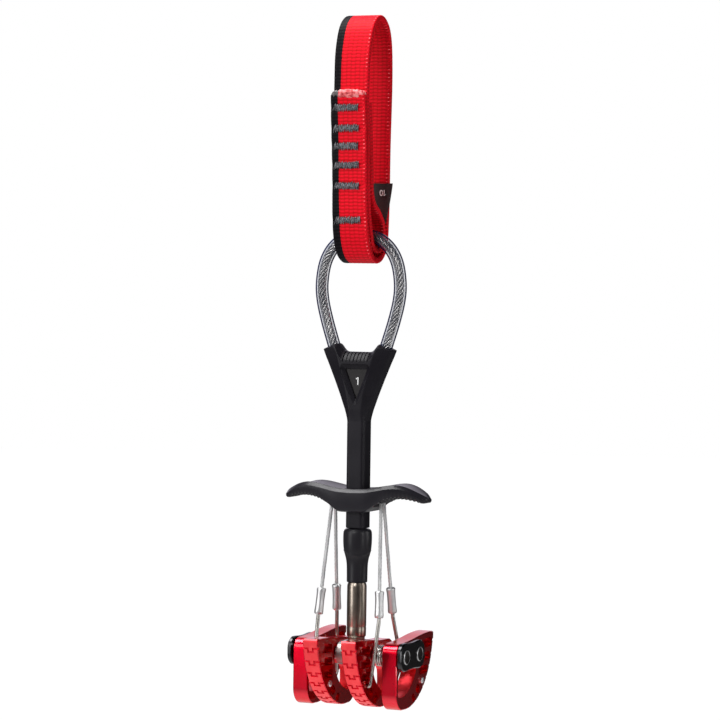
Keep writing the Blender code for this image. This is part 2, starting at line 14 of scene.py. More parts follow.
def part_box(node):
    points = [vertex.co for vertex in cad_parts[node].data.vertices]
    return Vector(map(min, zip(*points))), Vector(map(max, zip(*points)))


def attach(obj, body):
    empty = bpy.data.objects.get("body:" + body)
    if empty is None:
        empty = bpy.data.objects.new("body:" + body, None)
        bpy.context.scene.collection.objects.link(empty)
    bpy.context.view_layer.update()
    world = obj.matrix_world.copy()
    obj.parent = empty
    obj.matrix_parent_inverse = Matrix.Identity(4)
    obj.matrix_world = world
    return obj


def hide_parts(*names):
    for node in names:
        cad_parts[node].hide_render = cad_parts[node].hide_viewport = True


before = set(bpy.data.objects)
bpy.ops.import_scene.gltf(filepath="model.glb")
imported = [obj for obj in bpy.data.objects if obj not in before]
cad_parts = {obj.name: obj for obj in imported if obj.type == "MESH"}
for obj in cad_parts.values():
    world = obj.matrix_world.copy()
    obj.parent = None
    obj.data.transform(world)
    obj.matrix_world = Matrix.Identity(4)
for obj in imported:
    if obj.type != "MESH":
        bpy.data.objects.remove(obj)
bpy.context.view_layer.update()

MM = 0.001
SIDES = (("left", -1), ("right", 1))
KINDS = (("inner", -1), ("outer", 1))
# Distance from the tape's middle to its black stripe
STRIPE_EDGE = 4.0 * MM
# Radii of the axles' heads in the frame and of the holes that the axles run in
AXLE_HEAD = 3.05 * MM
AXLE_BORE = 2.7 * MM

# Places and sizes that the frame fixes
AXLE_Z = (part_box("axle_front")[0].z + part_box("axle_front")[1].z) / 2
AXLE_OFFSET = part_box("axle_back")[1].y - AXLE_HEAD
PLATE_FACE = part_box("end_plate_right")[1].x
STEM_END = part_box("handle")[0].z
BOOT_TOP, BOOT_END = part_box("stem_boot")[1].z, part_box("stem_boot")[0].z
STRAP_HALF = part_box("sling_webbing")[1].x


# ================================================================ mesh helpers

def in_mm(rows):
    """Rows of millimetres as rows of metres."""
    return [tuple(value * MM for value in row) for row in rows]


def place_new(name, data):
    """A new object in the scene."""
    thing = bpy.data.objects.new(name, data)
    bpy.context.scene.collection.objects.link(thing)
    return thing


def finish_mesh(name, bm, material, body, replaces=(), smooth=40.0):
    """Make a closed bmesh into a named piece that rides on a body."""
    bmesh.ops.recalc_face_normals(bm, faces=bm.faces)
    mesh = bpy.data.meshes.new(name)
    bm.to_mesh(mesh)
    bm.free()
    piece = place_new(name, mesh)
    for each in material if isinstance(material, (list, tuple)) else [material]:
        mesh.materials.append(each)
    shade(piece, smooth)
    if body:
        settle(piece, body, replaces)
    return piece


def shade(piece, angle):
    piece.data.shade_smooth()
    piece.data.set_sharp_from_angle(angle=radians(angle))


def settle(piece, body, replaces=()):
    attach(piece, body)
    if replaces:
        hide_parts(*replaces)


def skin(rings, close_path=False, bm=None):
    """Join equal rings of points with quads, and cap the ends unless the path closes."""
    bm = bm or bmesh.new()
    loops = [[bm.verts.new(point) for point in ring] for ring in rings]
    pairs = list(zip(loops, loops[1:]))
    if close_path:
        pairs.append((loops[-1], loops[0]))
    for lower, upper in pairs:
        for i in range(len(lower)):
            j = (i + 1) % len(lower)
            bm.faces.new((lower[i], lower[j], upper[j], upper[i]))
    if not close_path:
        bm.faces.new(loops[0])
        bm.faces.new(loops[-1])
    return bm


def polar(radius, angle):
    return radius * cos(radians(angle)), radius * sin(radians(angle))


def arc(radius, angles):
    """Points at a radius round (0, 0), at angles in degrees."""
    return [polar(radius, angle) for angle in angles]


def circle(radius, sides, centre=(0.0, 0.0)):
    step = 2 * pi / sides
    return [(centre[0] + radius * cos(i * step), centre[1] + radius * sin(i * step))
            for i in range(sides)]


def turned_x(profile, sides, centre, bore=None):
    """Turn a list of (radius, x) about the line along X through centre (y, z), with a bore if given."""
    if bore:
        profile = profile + [(bore, profile[-1][1]), (bore, profile[0][1])]
    return skin([[(x, y, z) for y, z in circle(r, sides, centre)] for r, x in profile], bool(bore))


def bar_x(radius, low, high, sides, centre):
    """A plain round bar along X through centre (y, z)."""
    return turned_x([(radius, low), (radius, high)], sides, centre)


def smooth_route(points, steps):
    """Catmull-Rom curve through the points."""
    points = [Vector(p) for p in points]
    padded = [2 * points[0] - points[1]] + points + [2 * points[-1] - points[-2]]
    route = []
    for a, b, c, d in zip(padded, padded[1:], padded[2:], padded[3:]):
        for i in range(steps):
            t = i / steps
            route.append(0.5 * (2 * b + (c - a) * t + (2 * a - 5 * b + 4 * c - d) * t * t
                                + (3 * b - 3 * c + d - a) * t ** 3))
    return route + [points[-1]]


def resample(route, step):
    """The same route with points a fixed step apart."""
    total = sum((b - a).length for a, b in zip(route, route[1:]))
    count = max(2, round(total / step))
    spacing, result, walked, target = total / count, [route[0].copy()], 0.0, total / count
    for a, b in zip(route, route[1:]):
        piece = (b - a).length
        while target <= walked + piece + 1e-12 and len(result) < count:
            result.append(a.lerp(b, (target - walked) / piece))
            target += spacing
        walked += piece
    result.append(route[-1].copy())
    return result


def frames_along(route):
    """(point, tangent, side, other) at each point, carried along without twist."""
    frames, side = [], None
    for i, point in enumerate(route):
        tangent = (route[min(i + 1, len(route) - 1)] - route[max(i - 1, 0)]).normalized()
        side = side or tangent.orthogonal().normalized()
        side = (side - tangent * side.dot(tangent)).normalized()
        frames.append((point, tangent, side, tangent.cross(side)))
    return frames


def route_rings(route, radius, sides):
    return [[p + s * y + o * z for y, z in circle(radius, sides)] for p, _, s, o in frames_along(route)]


def tube(bm, route, radius, sides):
    skin(route_rings(route, radius, sides), bm=bm)


def strands(route, count, strand_radius, lay_radius, pitch, sides):
    """A laid rope: strands wound round a route, over a core of the second material that fills the gaps; that
    material is darker, to paint shade between the strands.
    """
    bm = bmesh.new()
    frames = frames_along(route)
    walked, lengths = 0.0, [0.0]
    for a, b in zip(route, route[1:]):
        walked += (b - a).length
        lengths.append(walked)
    for k in range(count):
        line = []
        for (point, _, side, other), length in zip(frames, lengths):
            angle = 2 * pi * (k / count + length / pitch)
            line.append(point + side * lay_radius * cos(angle) + other * lay_radius * sin(angle))
        tube(bm, line, strand_radius, sides)
    # The core takes the darker second material, which paints shade into the gaps between the strands.
    before = len(bm.faces)
    tube(bm, route, max(strand_radius, lay_radius - 0.5 * strand_radius), sides)
    for face in list(bm.faces)[before:]:
        face.material_index = 1
    return bm


def prism(outline, low, high, chamfer=0.0):
    """Extrude a (y, z) outline along X, with both faces chamfered if a chamfer is given."""
    layers = ((low, outline), (high, outline))
    if chamfer:
        inset = inset_outline(outline, chamfer)
        layers = ((low, inset), (low + chamfer, outline), (high - chamfer, outline), (high, inset))
    return skin([[(x, y, z) for y, z in points] for x, points in layers])


def inset_outline(outline, distance):
    """Move each point of a closed outline inward by the distance."""
    area = sum(a[0] * b[1] - b[0] * a[1] for a, b in zip(outline, outline[1:] + outline[:1]))
    turn = 1.0 if area > 0 else -1.0
    result = []
    for i, (y, z) in enumerate(outline):
        py, pz = outline[i - 1]
        ny, nz = outline[(i + 1) % len(outline)]
        one, two = Vector((y - py, z - pz)).normalized(), Vector((ny - y, nz - z)).normalized()
        normal = (Vector((-one.y, one.x)) + Vector((-two.y, two.x))).normalized() * turn
        reach = max(0.5, normal.dot(Vector((-one.y, one.x)) * turn))
        result.append((y + normal.x * distance / reach, z + normal.y * distance / reach))
    return result


def rounded_polygon(corners):
    """Outline through (x, y, radius) corners, each turned with an arc of that radius."""
    steps = 4
    result = []
    for i, (x, y, radius) in enumerate(corners):
        here = Vector((x, y))
        before = (Vector(corners[i - 1][:2]) - here).normalized()
        after = (Vector(corners[(i + 1) % len(corners)][:2]) - here).normalized()
        half = before.angle(after) / 2
        reach = radius / tan(half)
        centre = here + (before + after).normalized() * radius / sin(half)
        start, stop = here + before * reach - centre, here + after * reach - centre
        swing = start.angle_signed(stop)
        for k in range(steps + 1):
            angle = -swing * k / steps
            turned = Vector((start.x * cos(angle) - start.y * sin(angle),
                             start.x * sin(angle) + start.y * cos(angle)))
            result.append(tuple(centre + turned))
    return result


def inset_rounded(corners, distance):
    """A rounded polygon drawn the distance inside the sharp one through (x, y, radius) corners."""
    moved = inset_outline([(x, y) for x, y, _ in corners], distance)
    least = 0.22 * MM
    return rounded_polygon([(x, y, max(least, r - distance)) for (x, y), (_, _, r) in zip(moved, corners)])


def carve(piece, cutters):
    """Cut a piece with closed bmeshes, one after another, and keep the plain mesh that results."""
    for cutter in cutters:
        bmesh.ops.recalc_face_normals(cutter, faces=cutter.faces)
        mesh = bpy.data.meshes.new("cutter")
        cutter.to_mesh(mesh)
        cutter.free()
        tool = place_new("cutter", mesh)
        modifier = piece.modifiers.new("carve", "BOOLEAN")
        modifier.operation = "DIFFERENCE"
        modifier.solver = "EXACT"
        modifier.object = tool
        apply_modifiers(piece)
        bpy.data.objects.remove(tool)
        bpy.data.meshes.remove(mesh)


def apply_modifiers(piece):
    """Keep the evaluated mesh as the piece's own, with the materials it had."""
    bpy.context.view_layer.update()
    evaluated = piece.evaluated_get(bpy.context.evaluated_depsgraph_get())
    mesh = bpy.data.meshes.new_from_object(evaluated)
    materials = list(piece.data.materials)
    old = piece.data
    piece.modifiers.clear()
    piece.data = mesh
    mesh.materials.clear()
    for material in materials:
        mesh.materials.append(material)
    bpy.data.meshes.remove(old)


def melt(piece, voxel, rounds):
    """Round every edge of a moulding: rebuild its skin from small cells, then smooth it."""
    piece.data.transform(Matrix.Scale(1 / MM, 4))
    remesh = piece.modifiers.new("remesh", "REMESH")
    remesh.mode = "VOXEL"
    remesh.voxel_size = voxel / MM
    smooth = piece.modifiers.new("smooth", "SMOOTH")
    smooth.factor = 0.5
    smooth.iterations = rounds
    apply_modifiers(piece)
    piece.data.transform(Matrix.Scale(MM, 4))


# ================================================================ materials

def feed(tree, socket, value):
    """Link a socket to an output, or set it to a plain value."""
    if isinstance(value, bpy.types.NodeSocket):
        tree.links.new(value, socket)
    else:
        socket.default_value = value


def add_node(tree, kind, **sockets):
    made = tree.nodes.new(kind)
    for name, value in sockets.items():
        feed(tree, made.inputs[name.replace("_", " ")], value)
    return made


def add_ramp(tree, factor, stops):
    """Colour output of a ramp through (position, colour) stops."""
    made = add_node(tree, "ShaderNodeValToRGB", Fac=factor)
    elements = made.color_ramp.elements
    while len(elements) < len(stops):
        elements.new(0.5)
    for element, (position, colour) in zip(elements, stops):
        element.position = position
        element.color = (*colour, 1.0)
    return made.outputs["Color"]


def vector_math(tree, operation, first, second=(0, 0, 0)):
    made = add_node(tree, "ShaderNodeVectorMath", Vector=first)
    made.operation = operation
    made.inputs[1].default_value = second
    return made


class Shader:
    """A Principled material with short calls for its nodes."""

    def __init__(self, name, colour, roughness, metallic=0.0):
        self.material = bpy.data.materials.new(name)
        self.material.use_nodes = True
        self.tree = self.material.node_tree
        self.surface = self.tree.nodes["Principled BSDF"]
        self.set("Base Color", (*colour, 1.0))
        self.set("Roughness", roughness)
        self.set("Metallic", metallic)

    def set(self, socket, value):
        self.surface.inputs[socket].default_value = value

    def node(self, kind, **sockets):
        return add_node(self.tree, kind, **sockets)

    def place(self, scale=(1, 1, 1)):
        """Object coordinates, in metres times scale."""
        coordinates = self.node("ShaderNodeTexCoord")
        return self.node("ShaderNodeMapping", Vector=coordinates.outputs["Object"], Scale=scale).outputs[0]

    def noise(self, scale, detail=3.0, roughness=0.5, stretch=(1, 1, 1)):
        made = self.node("ShaderNodeTexNoise", Vector=self.place(stretch), Scale=scale, Detail=detail,
                         Roughness=roughness)
        return made.outputs["Fac"]

    def math(self, operation, first, second=0.0):
        made = self.node("ShaderNodeMath")
        made.operation = operation
        feed(self.tree, made.inputs[0], first)
        feed(self.tree, made.inputs[1], second)
        return made.outputs[0]

    def ramp(self, factor, *stops):
        return add_ramp(self.tree, factor, stops)

    def spread(self, factor, low, high):
        """Map a 0 to 1 factor to the range low to high."""
        return self.node("ShaderNodeMapRange", Value=factor, To_Min=low, To_Max=high).outputs[0]

    def mix(self, factor, first, second):
        """Mix two colours, each an output or a plain colour."""
        made = self.node("ShaderNodeMix")
        made.data_type = "RGBA"
        share, first_colour, second_colour = made.inputs[0], made.inputs[6], made.inputs[7]
        feed(self.tree, share, factor)
        for socket, value in ((first_colour, first), (second_colour, second)):
            feed(self.tree, socket, (*value, 1.0) if isinstance(value, tuple) else value)
        return made.outputs[2]

    def wire(self, output, socket):
        self.tree.links.new(output, self.surface.inputs[socket])

    def tint(self, factor, low, high, start=0.3, stop=0.7):
        """Base colour that runs from low to high as the factor goes from start to stop."""
        self.wire(self.ramp(factor, (start, low), (stop, high)), "Base Color")

    def roughen(self, factor, low, high):
        self.wire(self.spread(factor, low, high), "Roughness")

    def bump(self, height, strength, distance):
        made = self.node("ShaderNodeBump", Height=height, Strength=strength, Distance=distance)
        self.wire(made.outputs[0], "Normal")


def red_anodised():
    """Dyed, anodised aluminium with fine machining marks."""
    shader = Shader("cam_red", (0.72, 0.002, 0.02), 0.2, 1.0)
    cloud = shader.noise(160, 3)
    marks = shader.noise(900, 2, 0.6, (0.15, 1, 1))
    shader.tint(cloud, (0.66, 0.001, 0.016), (0.76, 0.003, 0.024))
    shader.roughen(marks, 0.24, 0.34)
    shader.set("Specular Tint", (0.9, 0.02, 0.05, 1.0))
    shader.set("Coat Weight", 0.85)
    shader.set("Coat Roughness", 0.05)
    shader.set("Coat IOR", 1.5)
    shader.bump(marks, 0.05, 0.00002)
    return shader.material


def groove_red():
    """The grooves' red, duller than the lobes' sides."""
    shader = Shader("cam_groove", (0.8, 0.004, 0.03), 0.5, 0.3)
    cloud = shader.noise(260, 3)
    shader.tint(cloud, (0.72, 0.003, 0.02), (0.90, 0.008, 0.04))
    shader.roughen(cloud, 0.42, 0.58)
    return shader.material


def window_red():
    """The window's milled wall: paler and less metallic than the anodised red, a painted highlight for its
    broad bright reflection, with brushed marks in its roughness and bump.
    """
    shader = Shader("cam_window", (0.95, 0.045, 0.06), 0.34, 0.75)
    marks = shader.noise(700, 2)
    shader.roughen(marks, 0.30, 0.38)
    shader.bump(marks, 0.05, 0.00002)
    return shader.material


def blasted_red():
    """The grip's paler, blasted surface."""
    shader = Shader("cam_tread", (0.93, 0.04, 0.05), 0.42, 0.5)
    cloud = shader.noise(260, 4)
    shader.tint(cloud, (0.90, 0.032, 0.042), (0.98, 0.065, 0.075))
    shader.roughen(cloud, 0.36, 0.50)
    shader.bump(cloud, 0.15, 0.00004)
    return shader.material


def steel(name, low, high, rough_low, rough_high, stretch=(1, 1, 1), scale=600, marked=0.2):
    """Bare metal with drawn or turned marks."""
    shader = Shader(name, low, rough_low, 1.0)
    cloud = shader.noise(140, 4, 0.6)
    marks = shader.noise(scale, 3, 0.6, stretch)
    shader.tint(cloud, low, high)
    shader.roughen(marks, rough_low, rough_high)
    shader.bump(marks, marked, 0.00003)
    return shader.material


def moulded_plastic(name, low, high, rough_low, rough_high, gloss=0.24):
    """Satin moulded plastic with a fine spark-eroded grain."""
    shader = Shader(name, low, rough_low)
    cloud = shader.noise(90, 4)
    grain = shader.noise(2600, 2)
    shader.tint(cloud, low, high)
    shader.roughen(grain, rough_low, rough_high)
    shader.set("Specular IOR Level", gloss)
    shader.bump(grain, 0.12, 0.00004)
    return shader.material


def webbing_material():
    """Nylon tape: red with a black edge stripe and fine filaments, with painted shade between the weft rows
    and painted highlights on the right edge's loops.
    """
    shader = Shader("webbing", (0.7, 0.01, 0.03), 0.62)
    weave = shader.node("ShaderNodeAttribute")
    weave.attribute_name = "weave"
    across, _, height = shader.node("ShaderNodeSeparateXYZ", Vector=weave.outputs["Vector"]).outputs
    streaks = shader.node("ShaderNodeTexNoise", Vector=weave.outputs["Vector"], Scale=3.2, Detail=3.0)
    filament = streaks.outputs["Fac"]
    fuzz = shader.noise(420, 4, 0.7)
    # Both ramps paint shade, darkest in the gaps between weft rows; the red's pale stops above 0.7 paint
    # highlights on the right edge's loops.
    red = shader.ramp(height, (0.0, (0.20, 0.0, 0.0005)), (0.26, (0.54, 0.0005, 0.004)),
                      (0.70, (0.92, 0.002, 0.020)), (0.86, (0.95, 0.09, 0.12)), (1.0, (0.98, 0.36, 0.38)))
    black = shader.ramp(height, (0.0, (0.0015, 0.0012, 0.002)), (0.45, (0.003, 0.0025, 0.004)),
                        (0.70, (0.010, 0.008, 0.010)), (1.0, (0.06, 0.055, 0.055)))
    wander = shader.math("MULTIPLY_ADD", shader.noise(900, 2), 0.3)
    edge = shader.math("ADD", across, shader.math("MULTIPLY", wander, 0.5))
    stripe = shader.math("LESS_THAN", edge, -STRIPE_EDGE / MM + 0.1)
    mixed = shader.mix(stripe, red, black)
    tinted = shader.mix(shader.spread(filament, 0.0, 0.12), mixed, (0.92, 0.05, 0.07))
    shader.wire(shader.mix(stripe, tinted, mixed), "Base Color")
    shader.roughen(fuzz, 0.42, 0.62)
    shader.set("Specular IOR Level", 0.07)
    shader.set("Sheen Weight", 0.01)
    shader.set("Sheen Roughness", 0.3)
    shader.bump(shader.math("ADD", filament, fuzz), 0.25, 0.00006)
    return shader.material


def thread_material(name, low, high):
    shader = Shader(name, low, 0.55)
    twist = shader.noise(1500, 3, 0.6)
    shader.tint(twist, low, high, 0.35, 0.65)
    shader.roughen(twist, 0.40, 0.65)
    shader.bump(twist, 0.4, 0.00006)
    return shader.material


def clear_material():
    """Clear tube, navy where its wall is seen edge on and nearly absent where it is seen square."""
    shader = Shader("clear_tube", (0.5, 0.6, 0.8), 0.05)
    haze = shader.noise(120, 2)
    shader.roughen(haze, 0.03, 0.08)
    facing = shader.node("ShaderNodeLayerWeight", Blend=0.5).outputs["Facing"]
    tint = shader.ramp(facing, (0.06, (0.50, 0.58, 0.75)), (0.22, (0.10, 0.14, 0.30)),
                       (0.42, (0.010, 0.016, 0.06)), (0.80, (0.004, 0.006, 0.03)))
    cover = ((0.05, 0.02), (0.24, 0.12), (0.36, 0.40), (0.46, 0.96))
    shader.wire(tint, "Base Color")
    shader.wire(shader.ramp(facing, *((angle, (alpha,) * 3) for angle, alpha in cover)), "Alpha")
    shader.set("Specular IOR Level", 0.45)
    return shader.material


def bore_material():
    """The tube's bore, which hardly shows against the rope."""
    shader = Shader("clear_bore", (0.55, 0.62, 0.78), 0.1)
    haze = shader.noise(120, 2)
    shader.wire(shader.spread(haze, 0.03, 0.07), "Alpha")
    shader.roughen(haze, 0.08, 0.16)
    shader.set("Specular IOR Level", 0.2)
    return shader.material


def melted_material():
    """Singed end of the tape: pale, glassy beads where the nylon ran together."""
    shader = Shader("melted_nylon", (0.85, 0.3, 0.3), 0.35)
    beads = shader.noise(700, 3, 0.6)
    across = shader.node("ShaderNodeSeparateXYZ", Vector=shader.place()).outputs[0]
    stripe = shader.math("LESS_THAN", across, -STRIPE_EDGE)
    red = shader.ramp(beads, (0.35, (0.50, 0.01, 0.02)), (0.5, (0.80, 0.13, 0.14)), (0.7, (0.88, 0.38, 0.38)))
    black = shader.ramp(beads, (0.35, (0.02,) * 3), (0.6, (0.14, 0.12, 0.12)), (0.8, (0.3, 0.27, 0.27)))
    shader.wire(shader.mix(stripe, red, black), "Base Color")
    shader.roughen(beads, 0.25, 0.5)
    shader.bump(beads, 0.5, 0.0002)
    return shader.material


CAM_RED = red_anodised()
TREAD_RED = blasted_red()
GROOVE_RED = groove_red()
WINDOW_RED = window_red()
ROPE_STEEL = steel("rope_steel", (0.28, 0.27, 0.27), (0.50, 0.49, 0.48), 0.27, 0.34, scale=300, marked=0.0)
WIRE_STEEL = steel("wire_steel", (0.56, 0.56, 0.57), (0.74, 0.74, 0.74), 0.40, 0.50, marked=0.0)
ROD_STEEL = steel("rod_steel", (0.36, 0.345, 0.32), (0.50, 0.48, 0.45), 0.22, 0.34, (1, 1, 0.1))
FERRULE_METAL = steel("ferrule_metal", (0.58, 0.58, 0.59), (0.74, 0.74, 0.74), 0.36, 0.52)
AXLE_STEEL = steel("axle_steel", (0.34, 0.33, 0.32), (0.5, 0.49, 0.48), 0.2, 0.35)
RING_STEEL = steel("ring_steel", (0.45, 0.45, 0.45), (0.60, 0.60, 0.60), 0.3, 0.4)
DARK_STEEL = steel("dark_steel", (0.045, 0.038, 0.036), (0.085, 0.075, 0.070), 0.3, 0.4)
SPRING_STEEL = steel("spring_steel", (0.62, 0.61, 0.58), (0.78, 0.77, 0.74), 0.2, 0.32)
SWAGE_STEEL = steel("swage_steel", (0.20, 0.165, 0.135), (0.36, 0.31, 0.26), 0.24, 0.38, (1, 1, 0.06), 420)
TERMINAL_STEEL = steel("terminal_steel", (0.50, 0.48, 0.45), (0.66, 0.64, 0.61), 0.3, 0.45)
PLATE_BLACK = steel("plate_black", (0.040, 0.040, 0.042), (0.060, 0.058, 0.060), 0.16, 0.26, marked=0.05)
CASING = moulded_plastic("casing_plastic", (0.0085, 0.0076, 0.0105), (0.013, 0.0118, 0.0155),
                         0.34, 0.44, 0.14)
TRIGGER_PLASTIC = moulded_plastic("trigger_plastic", (0.012, 0.011, 0.015), (0.018, 0.0165, 0.021),
                                  0.26, 0.38)
BOOT_PLASTIC = moulded_plastic("boot_plastic", (0.012, 0.0112, 0.0145), (0.017, 0.016, 0.0195), 0.28, 0.40)
PLATE_PLASTIC = moulded_plastic("plate_plastic", (0.012, 0.0105, 0.011), (0.018, 0.016, 0.017), 0.40, 0.55)
WEBBING = webbing_material()
THREAD = thread_material("tack_thread", (0.012, 0.011, 0.014), (0.060, 0.058, 0.066))
# Thread whose noisy pale patches paint the glints on the tacks' top zigzag.
THREAD_GLINT = thread_material("tack_thread_glint", (0.008, 0.008, 0.010), (0.30, 0.30, 0.33))
LABEL_TAPE = thread_material("label_tape", (0.012, 0.012, 0.013), (0.028, 0.027, 0.028))
PRINT_WHITE = moulded_plastic("print_white", (0.80, 0.80, 0.80), (0.92, 0.92, 0.92), 0.45, 0.6)
CLEAR = clear_material()
BORE = bore_material()
MELTED = melted_material()


# ================================================================ sling

WEB_THICK = 2.4 * MM
WEB_PITCH = WEB_THICK + 0.3 * MM
STACK_FRONT = -11.8 * MM
STACK_TOP = -30.0 * MM
STACK_LEAN = 2.4 * MM
LEAN_FOOT = -68.0 * MM
LOOP_TOP = -84.6 * MM
EYE_RADIUS = 6.2 * MM
WEFT_PITCH = 1.38 * MM
WARP_PITCH = 1.88 * MM
SEWN_LENGTH = 60.0 * MM
TACK_HEIGHTS = [(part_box(f"bar_tack_{i}")[0].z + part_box(f"bar_tack_{i}")[1].z) / 2 for i in range(1, 7)]


def stack_lean(z):
    """How far forward the sewn layers lean at a height: nothing at their foot, most at their top."""
    share = min(1.0, max(0.0, (z - LEAN_FOOT) / (STACK_TOP - LEAN_FOOT)))
    return -STACK_LEAN * share ** 1.2


def sewn_layer(y, *heights):
    """Points of one sewn layer that would stand at y if the stack were upright."""
    return [(y + stack_lean(z * MM), z * MM) for z in heights]


def webbing_route():
    """The strip's middle line, from its cut front end round to its hidden inner end."""
    middle = STACK_FRONT + WEB_PITCH
    inner = middle + WEB_PITCH
    outer_layer = sewn_layer(STACK_FRONT, STACK_TOP / MM, -40, -50, -60)
    outer_layer += [(STACK_FRONT + 0.1 * MM, LEAN_FOOT)]
    outer_layer += in_mm([(-10.9, -79), (-9.3, -87), (-5.8, -92.6), (0, -94.8)])
    back_strand = in_mm([(5.6, -92.6), (8.6, -87), (9.4, -74), (9.9, -56), (10.3, -36), (10.5, -14)])
    top_arc = in_mm([(9.0, -5.0), (5.6, -0.6), (0.9, 1.2), (-4.0, -0.4), (-7.8, -5.0)])
    front_strand = in_mm([(-10.5, -14), (-11.2, -24)]) + sewn_layer(middle, -33, -40, -50, -60)
    front_strand += [(middle + 0.1 * MM, LEAN_FOOT), (-7.9 * MM, -78 * MM)]
    eye = [(y, LOOP_TOP + z) for y, z in arc(EYE_RADIUS, range(180, 361, 30))]
    inner_layer = in_mm([(5.4, -80.0), (1.6, -75.8), (-3.2, -72.6)])
    inner_layer += [(inner + 0.5 * MM, -67.4 * MM)] + sewn_layer(inner, -60, -50, -40, -33)
    points = outer_layer + back_strand + top_arc + front_strand + eye + inner_layer
    return smooth_route([(0, y, z) for y, z in points], 12)


def weave_height(across, length):
    """0 in the gaps between weft rows, 0.7 on the crown of a yarn, and up to 1 on the right edge's loops."""
    column = across / WARP_PITCH
    bricks = floor(column) % 2
    row = length / WEFT_PITCH + 0.05 * (2 * bricks - 1)
    crown = 0.5 + 0.5 * cos(2 * pi * row)
    seam = min(1.0, 2 * min(column % 1.0, 1 - column % 1.0) / 0.34)
    yarn = 0.70 * (0.22 + 0.78 * crown ** 0.6) * (0.62 + 0.38 * seam)
    selvedge = exp(-((across - (STRAP_HALF - 0.75 * MM)) / (0.30 * MM)) ** 2)
    loop = (0.5 + 0.5 * cos(2 * pi * length / (1.6 * MM))) ** 4
    return yarn * (1 - 0.45 * selvedge) + 0.85 * selvedge * loop


def tack_dip(z, length):
    """How far the sewn face is pulled in at the bar tacks, on the outer layer only."""
    if length > SEWN_LENGTH:
        return 0.0
    return sum(0.28 * MM * exp(-((z - tack) / (1.7 * MM)) ** 2) for tack in TACK_HEIGHTS)


FACE_SHARE = 0.955
FACE_COLUMNS = 30
EDGE_STEPS = 5


def tape_section(width):
    """(across, face, share of the half thickness) round the tape: front, one edge, back, other edge."""
    section = []
    for face in (-1, 1):
        for k in range(FACE_COLUMNS + 1):
            section.append((-face * width * (1 - 2 * k / FACE_COLUMNS) * FACE_SHARE, face, 1.0))
        for k in range(1, EDGE_STEPS):
            angle = pi * k / EDGE_STEPS
            reach = FACE_SHARE + (1 - FACE_SHARE) * sin(angle)
            section.append((face * width * reach, face, cos(angle)))
    return section


def build_webbing():
    route = resample(webbing_route(), 0.27 * MM)
    bm = bmesh.new()
    weave = bm.verts.layers.float_vector.new("weave")
    half = WEB_THICK / 2
    rings, marks, length = [], [], 0.0
    for i, (point, ahead) in enumerate(zip(route, route[1:] + [route[-1]])):
        along = (route[min(i + 1, len(route) - 1)] - route[max(i - 1, 0)]).normalized()
        normal = Vector((0, -along.z, along.y))
        ripple = 0.10 * MM * sin(length / (9 * MM)) * sin(length / (23 * MM))
        width = STRAP_HALF - 0.05 * MM + 0.12 * MM * sin(length / (7 * MM))
        dip = tack_dip(point.z, length)
        ring = []
        for across, face, share in tape_section(width):
            height = weave_height(across, length + (0 if face < 0 else WEFT_PITCH / 2))
            edge_rise = 0.10 * MM * max(0.0, abs(across) / width - 0.9) * 10
            thickness = half - 0.17 * MM + 0.15 * MM * height - (edge_rise if abs(share) == 1.0 else 0.0)
            lift = thickness * share * face + ripple + (dip * share if face < 0 else 0.0)
            ring.append(point + Vector((across, 0, 0)) + normal * lift)
            marks.append((across / MM, length / MM, height))
        rings.append(ring)
        length += (ahead - point).length
    skin(rings, bm=bm)
    for vert, mark in zip(bm.verts, marks):
        vert[weave] = mark
    finish_mesh("webbing_strip", bm, WEBBING, "sling", ["sling_webbing"], 70)


def build_melted_end():
    """A bumpy bead along the cut end of the front layer."""
    random.seed(5)
    bm = bmesh.new()
    bmesh.ops.create_icosphere(bm, subdivisions=5, radius=1.0)
    phases = [random.uniform(0, 6.28) for _ in range(6)]
    for vert in bm.verts:
        x, y, z = vert.co
        x = copysign(abs(x) ** 0.45, x)
        bump = (0.10 * sin(19 * x + phases[0]) + 0.08 * sin(31 * x + 4 * y + phases[1])
                + 0.06 * sin(47 * x + 5 * z + phases[2]))
        y, z = y * (1 + bump), z * (1 + 0.8 * bump)
        vert.co = Vector((x * 7.45 * MM, y * 1.45 * MM, z * 1.9 * MM))
        vert.co += Vector((0, STACK_FRONT - STACK_LEAN + 0.1 * MM, STACK_TOP + 0.2 * MM))
    finish_mesh("webbing_melted_end", bm, MELTED, "sling", (), 80)


# Stitches, reach, thread radius and rise of a tack's filling and of its loose zigzag, the last three in mm
TACK_LAYERS = ((14, 1.15, 0.20, 0.16), (12, 1.45, 0.125, 0.40))


def zigzag_thread(bm, face, outward, z_middle, rng, low_x, high_x):
    """One bar tack on one face: a dark filling of close stitches, with a loose zigzag over it whose pale
    colour paints the thread's glints.
    """
    lift = Vector((0, outward, 0))
    for layer, (stitches, reach, radius, rise) in enumerate(TACK_LAYERS):
        line, before = [], len(bm.faces)
        for i in range(2 * stitches + 1):
            side = 1 if i % 2 else -1
            lean = 0.28 * MM * side
            x = low_x + (high_x - low_x) * i / (2 * stitches) + lean + rng.uniform(-0.15, 0.15) * MM
            z = z_middle + side * (reach + rng.uniform(-0.25, 0.25)) * MM
            end = Vector((x, face, z))
            if line:
                line.append(line[-1].lerp(end, 0.5) + lift * rise * MM)
            line.append(end)
        tube(bm, smooth_route(line, 3), radius * MM, 6)
        for polygon in list(bm.faces)[before:]:
            polygon.material_index = layer


